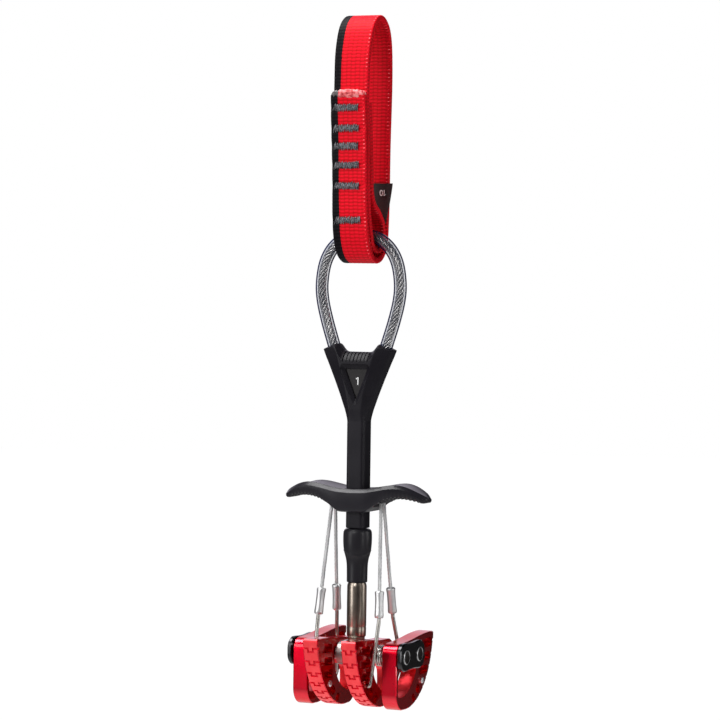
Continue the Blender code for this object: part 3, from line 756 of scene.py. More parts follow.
def build_bar_tacks():
    stack_back = STACK_FRONT + 2 * WEB_PITCH + WEB_THICK / 2 - 0.1 * MM
    for number, z in enumerate(TACK_HEIGHTS, 1):
        rng = random.Random(40 + number)
        box_low, box_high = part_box(f"bar_tack_{number}")
        low_x, high_x = box_low.x + 0.3 * MM, box_high.x + rng.uniform(-0.6, 0.1) * MM
        bm = bmesh.new()
        zigzag_thread(bm, box_high.y + 0.40 * MM, -1, z, rng, low_x, high_x)
        if number < len(TACK_HEIGHTS):
            zigzag_thread(bm, stack_back + stack_lean(z), 1, z, rng, low_x, high_x)
        finish_mesh(f"tack_thread_{number}", bm, [THREAD, THREAD_GLINT], "sling", [f"bar_tack_{number}"],
                    60)


def digit_one(height, depth, x, y, z):
    """A plain 1 with a flag, standing in the XZ plane; x and z are its lower left corner."""
    shape = ((0.22, 0.0), (0.37, 0.0), (0.37, 1.0), (0.26, 1.0), (0.02, 0.84), (0.02, 0.69), (0.22, 0.80))
    return skin([[(x + a * height, y + d, z + b * height) for a, b in shape]
                 for d in (-depth / 2, depth / 2)])


def digit_zero(height, depth, x, y, z):
    """A plain 0: an upright rounded ring."""
    def ring(inset, level):
        half_x, half_z = 0.29 * height - inset, 0.5 * height - inset
        return [(x + 0.29 * height + half_x * copysign(abs(cos(a)) ** 0.8, cos(a)), level,
                 z + 0.5 * height + half_z * copysign(abs(sin(a)) ** 0.8, sin(a)))
                for a in (2 * pi * i / 32 for i in range(32))]
    low, high, stroke = y - depth / 2, y + depth / 2, 0.15 * height
    return skin([ring(0.0, low), ring(0.0, high), ring(stroke, high), ring(stroke, low)], True)


def build_label():
    low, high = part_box("sling_label")
    y = (low.y + high.y) / 2
    half, rows = 0.16 * MM, 24
    rings = []
    for i in range(rows + 1):
        share = i / rows
        z = low.z + (high.z - low.z) * share
        lean = 0.35 * MM * sin(pi * share)
        right = high.x + 0.5 * MM - 2.9 * MM * (1 - share) ** 1.1
        rings.append([(low.x, y - half + lean, z), (right, y - half + lean, z),
                      (right, y + half + lean, z), (low.x, y + half + lean, z)])
    finish_mesh("label_tag", skin(rings), LABEL_TAPE, "sling", ["sling_label"], 40)
    for name, draw, shift in (("one", digit_one, 0.0), ("zero", digit_zero, 1.25 * MM)):
        digit = draw(2.4 * MM, 0.10 * MM, shift, 0, 0)
        bmesh.ops.rotate(digit, verts=digit.verts, matrix=Matrix.Rotation(radians(180), 3, "Y"))
        bmesh.ops.translate(digit, verts=digit.verts, vec=(7.0 * MM, y - half, high.z - 2.6 * MM))
        finish_mesh(f"label_digit_{name}", digit, PRINT_WHITE, "sling", (), 40)


# ================================================================ thumb loop

# (x, z) in mm up the right half of the thumb loop, and of the rope's leg below it
LOOP_HALF = ((10.6, -131.0), (11.6, -128.0), (14.5, -119.0), (16.6, -110.5), (17.0, -103.5),
             (15.6, -95.6), (12.2, -89.7), (6.8, -85.8), (0.0, -84.6))
LEG_HALF = ((6.0, -144.0), (8.8, -136.0))
SLEEVE_SIDES = 32


def mirrored(half):
    """The whole loop, from its right foot over the top to its left foot."""
    right = [(x * MM, 0, z * MM) for x, z in half]
    return right + [(-x, y, z) for x, y, z in right[-2::-1]]


def build_thumb_loop():
    loop = resample(smooth_route(mirrored(LOOP_HALF), 12), 1.0 * MM)
    outer, inner = (route_rings(loop, radius, SLEEVE_SIDES) for radius in (2.6 * MM, 1.95 * MM))
    sleeve = skin(outer + inner[::-1], True)
    for face in list(sleeve.faces)[(len(outer) - 1) * SLEEVE_SIDES:]:
        face.material_index = 1
    finish_mesh("clear_sleeve", sleeve, [CLEAR, BORE], "stem", ["loop_tube"], 60)
    whole = resample(smooth_route(mirrored(LEG_HALF + LOOP_HALF), 12), 0.7 * MM)
    bm = strands(whole, 7, 0.45 * MM, 1.23 * MM, 14 * MM, 9)
    finish_mesh("loop_rope", bm, [ROPE_STEEL, DARK_STEEL], "stem", ["stem_cable"], 60)


# ================================================================ handle, boot, terminal

def handle_section(width, depth, flat, edge, corner, z):
    """Eight-cornered section with a flat front and back, and sides that slope out to a blunt edge."""
    right = [(flat, -depth, corner), (width, -edge, corner * 0.8), (width, edge, corner * 0.8),
             (flat, depth, corner)]
    left = [(-x, y, r) for x, y, r in right[::-1]]
    return [(x, y, z) for x, y in rounded_polygon(right + left)]


SADDLE_FLOOR = -131.0 * MM
SADDLE_LEVEL = 1.0 * MM
SADDLE_REACH = 4.05 * MM
SADDLE_DROP = 3.6 * MM
# y of the saddle cutter's rings up to the middle, in mm
SADDLE_ROWS = (-9.0, -7.0, -5.6, -5.05, -4.5, -3.9, -3.2, -2.5, -1.8, -1.0)
# (x, z) along the right horn's hole for the tube, in mm
MOUTH_ROUTE = ((9.6, -134.0), (11.6, -128.0), (13.4, -122.6))


def saddle_drop(y):
    """How far the saddle's rounded front or back edge has fallen at a distance y from the middle."""
    return SADDLE_DROP * (max(0.0, abs(y) - SADDLE_LEVEL) / SADDLE_REACH) ** 1.8


def saddle_cutter():
    """All that lies above the saddle and the horns, with the long edges rounded over."""
    half = [(0.0, 0.0, 1.0), (5.0, 0.0, 1.0), (6.3, 0.5, 0.95), (7.5, 1.7, 0.8), (8.7, 3.1, 0.6),
            (9.6, 3.4, 0.5), (16.0, 0.6, 0.45), (18.0, -1.2, 0.45), (22.0, -1.6, 0.0), (22.0, 14.0, 0.0)]
    contour = half + [(-x, z, w) for x, z, w in half[:0:-1]]
    rings = []
    for y in SADDLE_ROWS + tuple(-y for y in SADDLE_ROWS[::-1]):
        drop = saddle_drop(min(abs(y), 7.0) * MM)
        rings.append([(x * MM, y * MM, SADDLE_FLOOR + z * MM - drop * weight) for x, z, weight in contour])
    return skin(rings)


def slot_cutter(x):
    """A thin groove that follows the saddle's rounded edge at one x."""
    depth, half_width = 0.42 * MM, 0.22 * MM
    edge = []
    for i in range(17):
        y = (i / 8 - 1) * 4.75 * MM
        edge.append((y, SADDLE_FLOOR - saddle_drop(y * 1.04) - depth))
    past, over = 7 * MM, SADDLE_FLOOR + 2 * MM
    outline = [(-past, edge[0][1]), (-past, over), (past, over), (past, edge[-1][1])]
    return prism(outline + edge[::-1], x - half_width, x + half_width)


# Half width, half depth, half flat, half edge and corner radius of the square stem casing, in mm
CASING_SECTION = (3.95, 3.95, 2.95, 2.95, 0.8)
# The same for the whole handle, each with its height, up to past the horns
STATIONS = ((-164, *CASING_SECTION), (-158.4, *CASING_SECTION), (-156.4, 4.6, 4.15, 2.8, 2.5, 0.9),
            (-154, 5.4, 4.5, 2.9, 2.3, 0.9), (-148, 7.7, 4.85, 3.7, 2.2, 1.0),
            (-142, 10.1, 5.0, 5.2, 2.3, 1.0), (-136, 12.6, 5.05, 6.8, 2.5, 1.0),
            (-133, 13.9, 5.05, 7.6, 2.7, 1.1), (-130.5, 14.9, 5.0, 8.2, 2.8, 1.2),
            (-126, 16.6, 4.9, 9.2, 2.9, 1.2))
# (x, z, radius) of the sunk window's corners, in mm: a triangle whose upper corners are cut
TRIANGLE = ((0.0, -153.4, 0.8), (6.5, -138.3, 0.9), (5.7, -136.0, 1.2), (-5.7, -136.0, 1.2),
            (-6.5, -138.3, 0.9))


def build_handle():
    stations = in_mm(((STEM_END / MM, *CASING_SECTION),) + STATIONS)
    rings = [handle_section(*section, z) for z, *section in stations]
    handle = finish_mesh("yoke_handle", skin(rings), CASING, None)
    carve(handle, [saddle_cutter()])
    melt(handle, 0.26 * MM, 5)

    corners = in_mm(TRIANGLE)
    rim, window, mouth = (inset_rounded(corners, inset * MM) for inset in (0.0, 1.7, -1.5))
    steps = ((-6.8 * MM, mouth), (-4.7 * MM, rim), (-3.6 * MM, window), (-2.6 * MM, window))
    cuts = [skin([[(x, y, z) for x, z in points] for y, points in steps])]
    for i in range(8):
        cuts.append(slot_cutter((i - 3.5) * 1.53 * MM))
    for _, sign in SIDES:
        route = [Vector((sign * x * MM, 0, z * MM)) for x, z in MOUTH_ROUTE]
        cuts.append(skin(route_rings(route, 2.85 * MM, 28)))
    carve(handle, cuts)
    shade(handle, 32)
    settle(handle, "stem", ["handle"])

    outline = inset_rounded(corners, 1.82 * MM)
    plate = skin([[(x, y, z) for x, z in outline] for y in (-3.05 * MM, -2.75 * MM)])
    finish_mesh("number_plate", plate, PLATE_PLASTIC, "stem", ["size_plate"], 40)
    digit = digit_one(3.1 * MM, 0.08 * MM, -0.3 * MM, -3.08 * MM, -144.1 * MM)
    finish_mesh("number_one", digit, PRINT_WHITE, "stem", (), 40)


def build_boot():
    profile = [(3.95, -222.6), (4.12, -222.3), (4.15, -219.0), (4.25, -215.5), (4.6, -213.2), (5.05, -211.6),
               (5.45, -209.8), (5.68, -207.6), (5.75, -205.4), (5.72, -203.6), (5.55, -202.4), (5.1, -201.7),
               (4.55, -201.4)]
    sides = 96
    rings = []
    for point in smooth_route([(r * MM, 0, z * MM) for r, z in profile], 5):
        ring = []
        for i in range(sides):
            angle = 2 * pi * i / sides
            wave = (-211.0 + 0.9 * sin(2 * angle + 0.6)) * MM
            ridge = 0.14 * MM * exp(-((point.z - wave) / (0.28 * MM)) ** 2)
            seam = 0.10 * MM * exp(-(sin(angle - 2.05) / 0.05) ** 2)
            radius = point.x + ridge + (seam if point.z < wave else 0.0)
            ring.append((radius * cos(angle), radius * sin(angle), point.z))
        rings.append(ring)
    bore = 3.65 * MM
    for z in (BOOT_TOP, BOOT_END):
        rings.append([(x, y, z) for x, y in circle(bore, sides)])
    finish_mesh("stem_collar", skin(rings, True), BOOT_PLASTIC, "stem", ["stem_boot"], 50)


def build_terminal():
    top = BOOT_END - 0.3 * MM
    profile = [(3.3, -246.6), (3.4, -244.6), (3.75, -244.2), (3.85, -243.6), (3.9, -240.9), (3.80, -240.5),
               (3.9, -240.1), (3.92, -232.0), (3.9, -224.4), (3.8, -223.6), (3.62, -223.2), (3.55, top / MM),
               (3.3, top / MM), (3.3, -246.6)]
    sleeve = skin([[(x, y, z) for x, y in circle(r, 48)] for r, z in in_mm(profile)], True)
    finish_mesh("swaged_sleeve", sleeve, SWAGE_STEEL, "stem", ["stem_terminal"], 35)
    reach, radius, half = AXLE_OFFSET + 3.7 * MM, 4.6 * MM, 4.6 * MM
    right = arc(radius, [-90 + 11.25 * i for i in range(17)])
    outline = [(sign * (reach - radius + y), AXLE_Z + sign * z) for sign in (1, -1) for y, z in right]
    block = finish_mesh("terminal_block", prism(outline, -half, half, 0.35 * MM), TERMINAL_STEEL, None)
    carve(block, [bar_x(AXLE_BORE, -8 * MM, 8 * MM, 32, (sign * AXLE_OFFSET, AXLE_Z)) for sign in (-1, 1)])
    shade(block, 30)
    settle(block, "stem", ())


def build_axles():
    for name, y in (("front", -AXLE_OFFSET), ("back", AXLE_OFFSET)):
        reach = PLATE_FACE - 0.1 * MM
        pin = bar_x(2.4 * MM, -reach, reach, 40, (y, AXLE_Z))
        finish_mesh(f"axle_pin_{name}", pin, AXLE_STEEL, "stem", [f"axle_{name}"], 35)
        for side, sign in SIDES:
            build_axle_head(f"{name}_{side}", y, sign)
            low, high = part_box(f"spacer_{name}_{side}")
            radius = (high.y - low.y) / 2
            bevel = 0.2 * MM
            profile = [(radius - bevel, low.x), (radius, low.x + bevel), (radius, high.x - bevel),
                       (radius - bevel, high.x)]
            spacer = turned_x(profile, 32, (y, AXLE_Z), AXLE_BORE)
            finish_mesh(f"spool_{name}_{side}", spacer, SPRING_STEEL, "stem", [f"spacer_{name}_{side}"],
                        35)


def build_axle_head(name, y, sign):
    """Peened end of an axle: a bright ring round a dark dish."""
    end = PLATE_FACE + 0.35 * MM
    ring = [(2.5 * MM, end - 0.12 * MM), (2.56 * MM, end), (2.72 * MM, end), (2.85 * MM, end - 0.12 * MM),
            (2.88 * MM, PLATE_FACE + 0.02 * MM)]
    head = turned_x([(r, sign * x) for r, x in ring], 48, (y, AXLE_Z), 2.5 * MM)
    finish_mesh(f"axle_ring_{name}", head, RING_STEEL, "stem", (), 35)
    dish = [(2.45 * MM, PLATE_FACE), (2.45 * MM, end - 0.10 * MM), (2.1 * MM, end - 0.16 * MM),
            (0.2 * MM, end - 0.20 * MM)]
    face = turned_x([(r, sign * x) for r, x in dish], 48, (y, AXLE_Z))
    finish_mesh(f"axle_face_{name}", face, DARK_STEEL, "stem", (), 35)


def plate_outline():
    """(y, z) of the peanut-shaped end plate."""
    half_length, half_height, corner, waist = 12.0 * MM, 5.6 * MM, 4.5 * MM, 0.4 * MM
    flat = half_length - corner
    upper = [(flat + y, half_height - corner + z) for y, z in arc(corner, range(0, 91, 6))]
    upper += [(flat * share, half_height - waist * cos(pi / 2 * share) ** 2)
              for share in (0.85, 0.7, 0.55, 0.4, 0.25, 0.12, 0.0)]
    upper += [(-y, z) for y, z in upper[-2::-1]]
    lower = [(-y, -z) for y, z in upper]
    return upper + lower


def build_end_plates():
    for side, _ in SIDES:
        low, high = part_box(f"end_plate_{side}")
        outline = [(y, AXLE_Z + z) for y, z in plate_outline()]
        plate = finish_mesh(f"head_plate_{side}", prism(outline, low.x, high.x, 0.45 * MM), PLATE_BLACK, None)
        for sign in (-1, 1):
            carve(plate, [bar_x(AXLE_BORE, low.x - MM, high.x + MM, 36, (sign * AXLE_OFFSET, AXLE_Z))])
        shade(plate, 28)
        settle(plate, "stem", [f"end_plate_{side}"])


# ================================================================ cams

TIP_ANGLE = 12.0
TIP_RADIUS = 32.7 * MM
CAM_ANGLE = 14.5
SPIRAL = tan(radians(CAM_ANGLE))
BACK_FLAT = 4.5 * MM
HOOK = Vector((20.4 * MM, -11.4 * MM))


def cam_radius(angle):
    return TIP_RADIUS * exp(SPIRAL * radians(angle - TIP_ANGLE))


def cam_outline():
    """(out, up) outline of a lobe: back flat, round heel, spiral grip, tip flat and hollow top edge."""
    corner, heel = 4.4 * MM, 6.7 * MM
    points = [(-BACK_FLAT + corner - y, 0.9 * MM + z) for y, z in arc(corner, range(90, -1, -6))]
    points += [(-BACK_FLAT + heel - y, -14.6 * MM - z) for y, z in arc(heel, range(0, 86, 9))]
    points += [polar(cam_radius(a), a) for a in range(-80, 7, 3)]
    tip = TIP_RADIUS * cos(radians(TIP_ANGLE))
    points += [(tip + 0.25 * MM, 4.4 * MM), (tip + 0.3 * MM, 6.65 * MM), (tip - 0.2 * MM, 7.12 * MM)]
    return points + in_mm([(28.0, 7.2), (24.4, 7.05), (21.5, 6.9), (18.0, 6.6), (14.5, 6.2), (10.5, 5.8),
                           (6.0, 5.45), (2.5, 5.32)])


def window_outline():
    """(out, up) outline of the opening that the other axle sweeps through."""
    outer = [polar((16.0 + 0.4 * i / 24) * MM, -98 + 104 * i / 24) for i in range(25)]
    stop = in_mm([(15.5, 2.5), (14.4, 3.2), (13.0, 3.45), (11.6, 3.1), (10.6, 2.2), (9.9, 0.6)])
    heel = in_mm([(-2.6, -7.6), (-3.0, -9.5), (-3.1, -12.5), (-2.9, -14.6)])
    return outer + stop + arc(6.0 * MM, range(-10, -101, -10)) + heel


def tread_row(angle, low, high):
    """One groove across the grip that steps round a square lug in the middle of the lobe."""
    centre = Vector(polar(cam_radius(angle), angle))
    radial = Vector(polar(1.0, angle - CAM_ANGLE))
    along = Vector((-radial.y, radial.x))
    half, lug, step, depth = 0.425 * MM, 1.10 * MM, 1.45 * MM, 0.62 * MM
    middle = (low + high) / 2
    # (x, way along the grip, which way the groove's edge shifts in x) at each corner of its middle line
    path = ((low - MM, 0, 0), (middle - lug, 0, 1), (middle - lug, -step, 1), (middle + lug, -step, -1),
            (middle + lug, 0, -1), (high + MM, 0, 0))
    upper, lower = ([(x + side * half * shift, s + side * half) for x, s, shift in path] for side in (1, -1))
    rings = []
    for reach in (-depth, 1.2 * MM):
        flats = [(x, centre + radial * reach + along * s) for x, s in upper + lower[::-1]]
        rings.append([(x, flat.x, flat.y) for x, flat in flats])
    return skin(rings)


# (out, up) of each pocket's middle, its half length and half height in mm, and its slope in degrees
POCKETS = ((24.2, 2.9, 5.9, 1.75, 4.0), (23.2, -2.35, 5.1, 1.65, 3.0), (21.9, -7.4, 4.1, 1.6, 2.0),
           (16.9, -14.4, 1.7, 1.75, -38.0), (12.6, -17.6, 1.7, 1.3, -52.0))


def pocket(middle, half_length, half_height, slope, low, high):
    """Recess with round corners, sunk between the window and the grip."""
    corner = min(1.2 * MM, 0.7 * half_height)
    turn = Matrix.Rotation(radians(slope), 2)
    corners = [(-half_length, -half_height, corner), (half_length, -half_height, corner),
               (half_length, half_height, corner), (-half_length, half_height, corner)]
    points = [middle + turn @ Vector(point) for point in rounded_polygon(corners)]
    return prism([(point.x, point.y) for point in points], low, high)


def paint_cam(cam, low, high):
    """Give the window's walls, the grip and its grooves their own materials."""
    opening = window_outline()
    walls = [((a[0] + b[0]) / 2, (a[1] + b[1]) / 2) for a, b in zip(opening, opening[1:] + opening[:1])]
    for face in cam.data.polygons:
        y, z = face.center.y, face.center.z
        angle = degrees(atan2(z, y))
        sunk = cam_radius(angle) - hypot(y, z)
        across = abs(face.normal.x) < 0.5
        # The window's walls take the paler red, which paints their bright reflection.
        if across and min(hypot(y - wall[0], z - wall[1]) for wall in walls) < 0.3 * MM:
            face.material_index = 3
        elif -82 < angle < 12.5 and sunk < 0.25 * MM and across:
            face.material_index = 1
        elif -84 < angle < 9 and sunk < 0.85 * MM and low + 0.4 * MM < face.center.x < high - 0.4 * MM:
            face.material_index = 2


def build_cam(name, out, low, high):
    """A lobe in (out, up) terms, then set on its axle. out is 1 where the grip faces the back."""
    cam = finish_mesh(f"lobe_{name}", prism(cam_outline(), low, high, 0.3 * MM),
                      [CAM_RED, TREAD_RED, GROOVE_RED, WINDOW_RED], None)
    past, depth = MM, 1.7 * MM
    carve(cam, [prism(window_outline(), low - past, high + past)])
    carve(cam, [bar_x(AXLE_BORE, low - past, high + past, 32, (0, 0)),
                bar_x(1.1 * MM, low - past, high + past, 20, HOOK)])
    for y, z, half_length, half_height, slope in POCKETS:
        size = (Vector((y, z)) * MM, half_length * MM, half_height * MM, slope)
        carve(cam, [pocket(*size, low - past, low + depth), pocket(*size, high - depth, high + past)])
    carve(cam, [tread_row(6.4 - 9.7 * row, low, high) for row in range(9)])
    paint_cam(cam, low, high)
    flip = Matrix.Diagonal((1, out, 1, 1))
    cam.data.transform(Matrix.Translation((0, -out * AXLE_OFFSET, AXLE_Z)) @ flip)
    if out < 0:
        cam.data.flip_normals()
    shade(cam, 30)
    settle(cam, f"cam_{name}", [f"cam_{name}"])


def build_cams():
    for side, _ in SIDES:
        for kind, out in KINDS:
            low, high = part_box(f"cam_{kind}_{side}")
            build_cam(f"{kind}_{side}", out, low.x, high.x)


def build_springs():
    wire, mean, half = 0.38 * MM, 3.85 * MM, 1.5 * MM
    turns, per_turn = 3.5, 28
    count = int(turns * per_turn)
    for side, sign in SIDES:
        low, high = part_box(f"spacer_front_{side}")
        middle = (low.x + high.x) / 2
        for kind, out in KINDS:
            axle_y = -out * AXLE_OFFSET
            toward = -sign if kind == "inner" else sign
            route = []
            for i in range(count + 1):
                y, z = polar(mean, 360 * i / per_turn)
                x = middle + toward * (2 * half * i / count - half)
                route.append(Vector((x, axle_y - out * y, AXLE_Z + z)))
            start = route[0] + Vector((0, 0, -5.2 * MM))
            bm = bmesh.new()
            tube(bm, [start, start.lerp(route[0], 0.5)] + route, wire, 8)
            finish_mesh(f"coil_{kind}_{side}", bm, SPRING_STEEL, "stem", [f"spring_{kind}_{side}"],
                        60)
            end = route[-1]
            leg = [end, end + Vector((0, 0, -2.5 * MM)), end + Vector((toward * 0.5 * MM, 0, -5.0 * MM)),
                   end + Vector((toward * 1.6 * MM, 0, -6.0 * MM))]
            bm = bmesh.new()
            tube(bm, smooth_route(leg, 4), wire, 8)
            finish_mesh(f"coil_leg_{kind}_{side}", bm, SPRING_STEEL, f"cam_{kind}_{side}", (),
                        60)


# ================================================================ trigger wires

# x in mm of the rod at its hook, of its knee on the left and on the right side, and of the hook's end
WIRE_PLACES = {"inner": (12.5, 12.5, 14.0, 4.6), "outer": (15.0, 13.0, 11.6, 23.0)}
# (share of the ferrule's length, radius in mm) of its crimped outside
FERRULE_SHAPE = ((0.0, 1.45), (0.03, 1.75), (0.10, 1.82), (0.30, 1.70), (0.62, 1.66), (0.86, 1.74),
                 (0.93, 1.86), (0.98, 1.82), (1.0, 1.62))


def build_wires():
    for side, sign in SIDES:
        for kind, out in KINDS:
            build_wire(f"{kind}_{side}", kind, out, sign)


def build_wire(name, kind, out, sign):
    """Rod, ferrule and cable, on the line that their frame nodes follow."""
    rod_x, knee_left, knee_right, pin_x = (x * MM for x in WIRE_PLACES[kind])
    knee_x = knee_right if sign > 0 else knee_left
    hook = Vector((sign * rod_x, -out * AXLE_OFFSET + out * HOOK.x, AXLE_Z + HOOK.y))
    top = Vector((sign * 10.5 * MM, out * 1.0 * MM, -188 * MM))
    knee = hook.lerp(top, 0.34)
    knee.x = sign * knee_x
    inward = sign if pin_x > rod_x else -sign
    body = f"wire_{name}"
    bend, radius = 0.85 * MM, 0.75 * MM
    rise = (knee - hook).normalized() * 1.5 * bend
    corner = [hook + Vector((inward * 1.5 * bend, 0, 0)),
              hook + Vector((inward * 0.38 * bend, 0, 0.38 * bend)), hook + rise]
    route = [Vector((sign * pin_x, hook.y, hook.z))] + smooth_route(corner, 5) + [knee, knee.lerp(top, 0.13)]
    bm = bmesh.new()
    tube(bm, route, radius, 16)
    finish_mesh(f"hook_rod_{name}", bm, ROD_STEEL, body, [f"rod_{name}"], 60)

    tip = sign * pin_x
    button = [(0.9 * MM, tip - inward * 0.9 * MM), (1.2 * MM, tip - inward * 0.6 * MM), (1.25 * MM, tip),
              (1.1 * MM, tip + inward * 0.2 * MM), (0.5 * MM, tip + inward * 0.3 * MM)]
    finish_mesh(f"hook_end_{name}", turned_x(button, 20, (hook.y, hook.z)), FERRULE_METAL, body, (),
                60)

    low, high = knee.lerp(top, 0.03), knee.lerp(top, 0.24)
    run = high - low
    outer = [route_rings([low + run * s, low + run * (s + 1)], r * MM, 24)[0] for s, r in FERRULE_SHAPE]
    inner = [route_rings([low + run * s, low + run * (s + 1)], 1.0 * MM, 24)[0] for s in (0.06, 0.94)]
    finish_mesh(f"crimp_{name}", skin(outer + inner[::-1], True), FERRULE_METAL, body, [f"ferrule_{name}"],
                40)

    cable = resample([knee.lerp(top, 0.15), top], 0.45 * MM)
    bm = strands(cable, 4, 0.33 * MM, 0.42 * MM, 6.0 * MM, 7)
    finish_mesh(f"thin_cable_{name}", bm, [WIRE_STEEL, DARK_STEEL], body, [f"trigger_cable_{name}"],
                60)


# ================================================================ trigger

# Height of the wing's top and foot, and its half depth, at distances from the middle; all in mm
TRIGGER_TIP = 31.0
TRIGGER_TOP = ((0, -185.3), (6, -185.0), (11, -184.1), (16, -183.2), (20, -183.1), (24, -184.1),
               (28, -186.0), (30.2, -187.4), (TRIGGER_TIP, -188.3))
TRIGGER_FOOT = ((0, -194.5), (5.4, -194.4), (7.6, -193.4), (10, -191.7), (13, -190.1), (17, -188.9),
                (21, -188.6), (25, -189.1), (28.5, -189.9), (30.2, -189.9), (TRIGGER_TIP, -189.3))
TRIGGER_DEPTH = ((0, 8.2), (8, 8.2), (14, 7.9), (20, 7.1), (25, 6.0), (28.5, 4.6), (30.4, 3.0),
                 (TRIGGER_TIP, 1.8))
TOOTH_PITCH = 1.6
TOOTH_DEPTH = 0.9
TEETH_FROM, TEETH_TO = 12.4, 28.4


def knots(table):
    """A fine list of (x, value) along a smooth curve through a short table."""
    return [(point.x, point.y) for point in smooth_route([(x, v, 0) for x, v in table], 8)]


def value_at(curve, x):
    """The curve's value at x, on straight lines between its points."""
    for (x0, v0), (x1, v1) in zip(curve, curve[1:]):
        if x <= x1:
            return v0 + (v1 - v0) * (x - x0) / (x1 - x0)
    return curve[-1][1]


def trigger_section(x, curves):
    """Closed section in the YZ plane: flat chamfer round the top, drafted face and soft lower edges."""
    reach = abs(x)
    top, foot, depth = (value_at(curve, reach) for curve in curves)
    tooth = 0.0
    if TEETH_FROM < reach < TEETH_TO:
        phase = ((reach - TEETH_FROM) / TOOTH_PITCH) % 1.0
        tooth = TOOTH_DEPTH * min(1.0, max(0.0, 2.2 * abs(phase - 0.5) - 0.25) * 2.5)
    height = top - foot
    rim = min(1.45, 0.42 * height)
    shoulder = min(1.25, 0.42 * depth)
    soft = min(1.1, 0.22 * height, 0.3 * depth)
    draft = 0.06 * height
    face = depth - draft
    right = [(depth * 0.4, foot + tooth), (face - soft * 1.3, foot + tooth),
             (face - soft * 0.35, foot + soft * 0.5 + tooth * 0.5), (face, foot + soft * 1.4),
             (depth, top - rim - 0.12), (depth, top - rim), (depth - shoulder, top - 0.05),
             (depth - shoulder - 0.15, top), (depth - shoulder - 0.6, top - 0.12), (depth * 0.4, top - 0.35)]
    section = right + [(-y, z) for y, z in right[::-1]]
    return [(x * MM, y * MM, z * MM) for y, z in section]


def trigger_hole(middle, half_x, half_y, corner, top):
    """Cutter of a rounded rectangular hole that runs up through the trigger's foot; all in mm."""
    corners = in_mm((middle + a * half_x, b * half_y, corner)
                    for a, b in ((1, -1), (1, 1), (-1, 1), (-1, -1)))
    return skin([[(x, y, z) for x, y in rounded_polygon(corners)] for z in (-200 * MM, top * MM)])


def build_trigger():
    curves = [knots(table) for table in (TRIGGER_TOP, TRIGGER_FOOT, TRIGGER_DEPTH)]
    step = 0.2
    half = [step * i for i in range(int(TRIGGER_TIP / step))] + [TRIGGER_TIP - 0.1, TRIGGER_TIP]
    full = [-x for x in half[:0:-1]] + half
    wing = skin([trigger_section(x, curves) for x in full])
    trigger = finish_mesh("trigger_wing", wing, TRIGGER_PLASTIC, None)
    cuts = [trigger_hole(0.0, 4.35, 4.35, 1.0, -180)]
    cuts += [trigger_hole(sign * 10.5, 1.2, 6.7, 1.1, -186.3) for _, sign in SIDES]
    carve(trigger, cuts)
    shade(trigger, 30)
    settle(trigger, "trigger", ["trigger_bar"])


# ================================================================ stage, light, camera

def build_stage():
    """A pale floor well below the hanging device."""
    floor_mesh = bpy.data.meshes.new("floor")
    bm = bmesh.new()
    bmesh.ops.create_circle(bm, cap_ends=True, segments=96, radius=4.0)
    bmesh.ops.translate(bm, verts=bm.verts, vec=(0, 0, -0.42))
    bm.to_mesh(floor_mesh)
    bm.free()
    ground = place_new("floor", floor_mesh)
    shader = Shader("floor_paint", (0.06, 0.06, 0.06), 0.9)
    grain = shader.noise(3, 2)
    shader.roughen(grain, 0.85, 0.95)
    shader.set("Emission Color", (1.0, 1.0, 1.0, 1.0))
    away = vector_math(shader.tree, "LENGTH", shader.place((1, 1, 0))).outputs["Value"]
    pool = shader.node("ShaderNodeMapRange", Value=away, From_Min=0.15, From_Max=0.60,
                       To_Min=1.0, To_Max=0.03)
    camera_ray = shader.node("ShaderNodeLightPath").outputs["Is Camera Ray"]
    glow = shader.math("MAXIMUM", pool.outputs[0], shader.math("MULTIPLY", camera_ray, 0.98))
    shader.wire(glow, "Emission Strength")
    floor_mesh.materials.append(shader.material)


# The way from the device to the pale sweep
BACKDROP = (-0.47, 0.88, 0.0)


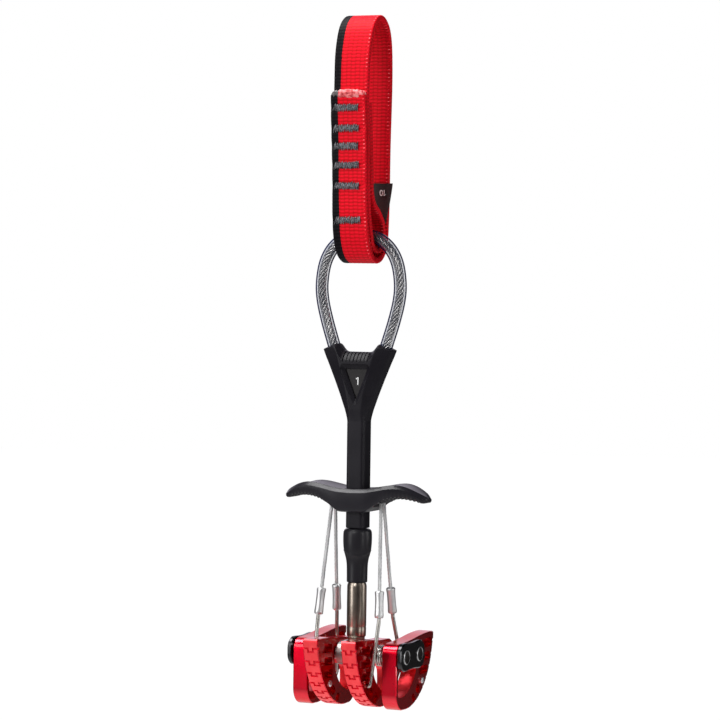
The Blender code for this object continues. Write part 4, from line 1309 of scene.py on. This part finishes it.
def build_world():
    """White backdrop to the camera; to the pieces, a dark studio with one pale sweep behind them."""
    world = bpy.data.worlds.new("studio")
    bpy.context.scene.world = world
    world.use_nodes = True
    tree = world.node_tree
    tree.nodes.clear()
    direction = add_node(tree, "ShaderNodeTexCoord").outputs["Generated"]
    squat = vector_math(tree, "MULTIPLY", direction, (1.0, 1.0, 0.4)).outputs[0]
    unit = vector_math(tree, "NORMALIZE", squat).outputs[0]
    toward = vector_math(tree, "DOT_PRODUCT", unit, BACKDROP).outputs["Value"]
    sweep = add_ramp(tree, toward, ((0.86, (0.03, 0.03, 0.034)), (0.93, (0.85, 0.80, 0.92))))
    studio = add_node(tree, "ShaderNodeBackground", Color=sweep, Strength=1.0)
    seen = add_node(tree, "ShaderNodeBackground", Color=(1, 1, 1, 1), Strength=1.0)
    camera_ray = add_node(tree, "ShaderNodeLightPath").outputs["Is Camera Ray"]
    mix = add_node(tree, "ShaderNodeMixShader", Fac=camera_ray)
    tree.links.new(studio.outputs[0], mix.inputs[1])
    tree.links.new(seen.outputs[0], mix.inputs[2])
    add_node(tree, "ShaderNodeOutputWorld", Surface=mix.outputs[0])


# Each softbox's place, width, height and power in watts
LIGHTS = {
    "top_softbox": ((-0.33, -0.12, 0.75), 0.70, 0.5, 13.0),
    "left_softbox": ((-0.64, -0.80, 0.0), 0.42, 1.1, 5.6),
    "front_softbox": ((-0.06, -1.05, 0.36), 0.30, 0.5, 4.2),
    "right_softbox": ((0.92, 0.34, 0.05), 0.30, 0.8, 2.6),
    "edge_softbox": ((0.97, -0.40, 0.02), 0.16, 0.9, 2.4),
}


def build_lights():
    """Put up the softboxes, all turned to the device's middle."""
    middle = Vector((0, 0, -0.135))
    for name, (location, width, height, power) in LIGHTS.items():
        data = bpy.data.lights.new(name, "AREA")
        data.energy = power
        data.shape = "RECTANGLE"
        data.size = width
        data.size_y = height
        light = place_new(name, data)
        light.location = location
        light.rotation_euler = (middle - Vector(location)).to_track_quat("-Z", "Y").to_euler()


def build_camera():
    azimuth, elevation, roll, distance = (radians(24.4), radians(1.8), radians(0.77), 1.2)
    target = Vector((0, 0, -0.1343))
    toward = Vector((sin(azimuth) * cos(elevation), -cos(azimuth) * cos(elevation),
                     sin(elevation)))
    data = bpy.data.cameras.new("camera")
    data.sensor_width = 36.0
    data.lens = 151.025
    camera = place_new("camera", data)
    camera.location = target + toward * distance
    facing = (-toward).to_track_quat("-Z", "Y").to_matrix().to_4x4()
    camera.matrix_world = Matrix.Translation(camera.location) @ facing @ Matrix.Rotation(roll, 4, "Z")
    bpy.context.scene.camera = camera


bpy.context.scene.view_settings.view_transform = "Standard"
for build in (build_camera, build_stage, build_world, build_lights, build_webbing, build_melted_end,
              build_bar_tacks, build_label, build_thumb_loop, build_handle, build_boot, build_terminal,
              build_axles, build_end_plates, build_cams, build_springs, build_wires, build_trigger):
    build()
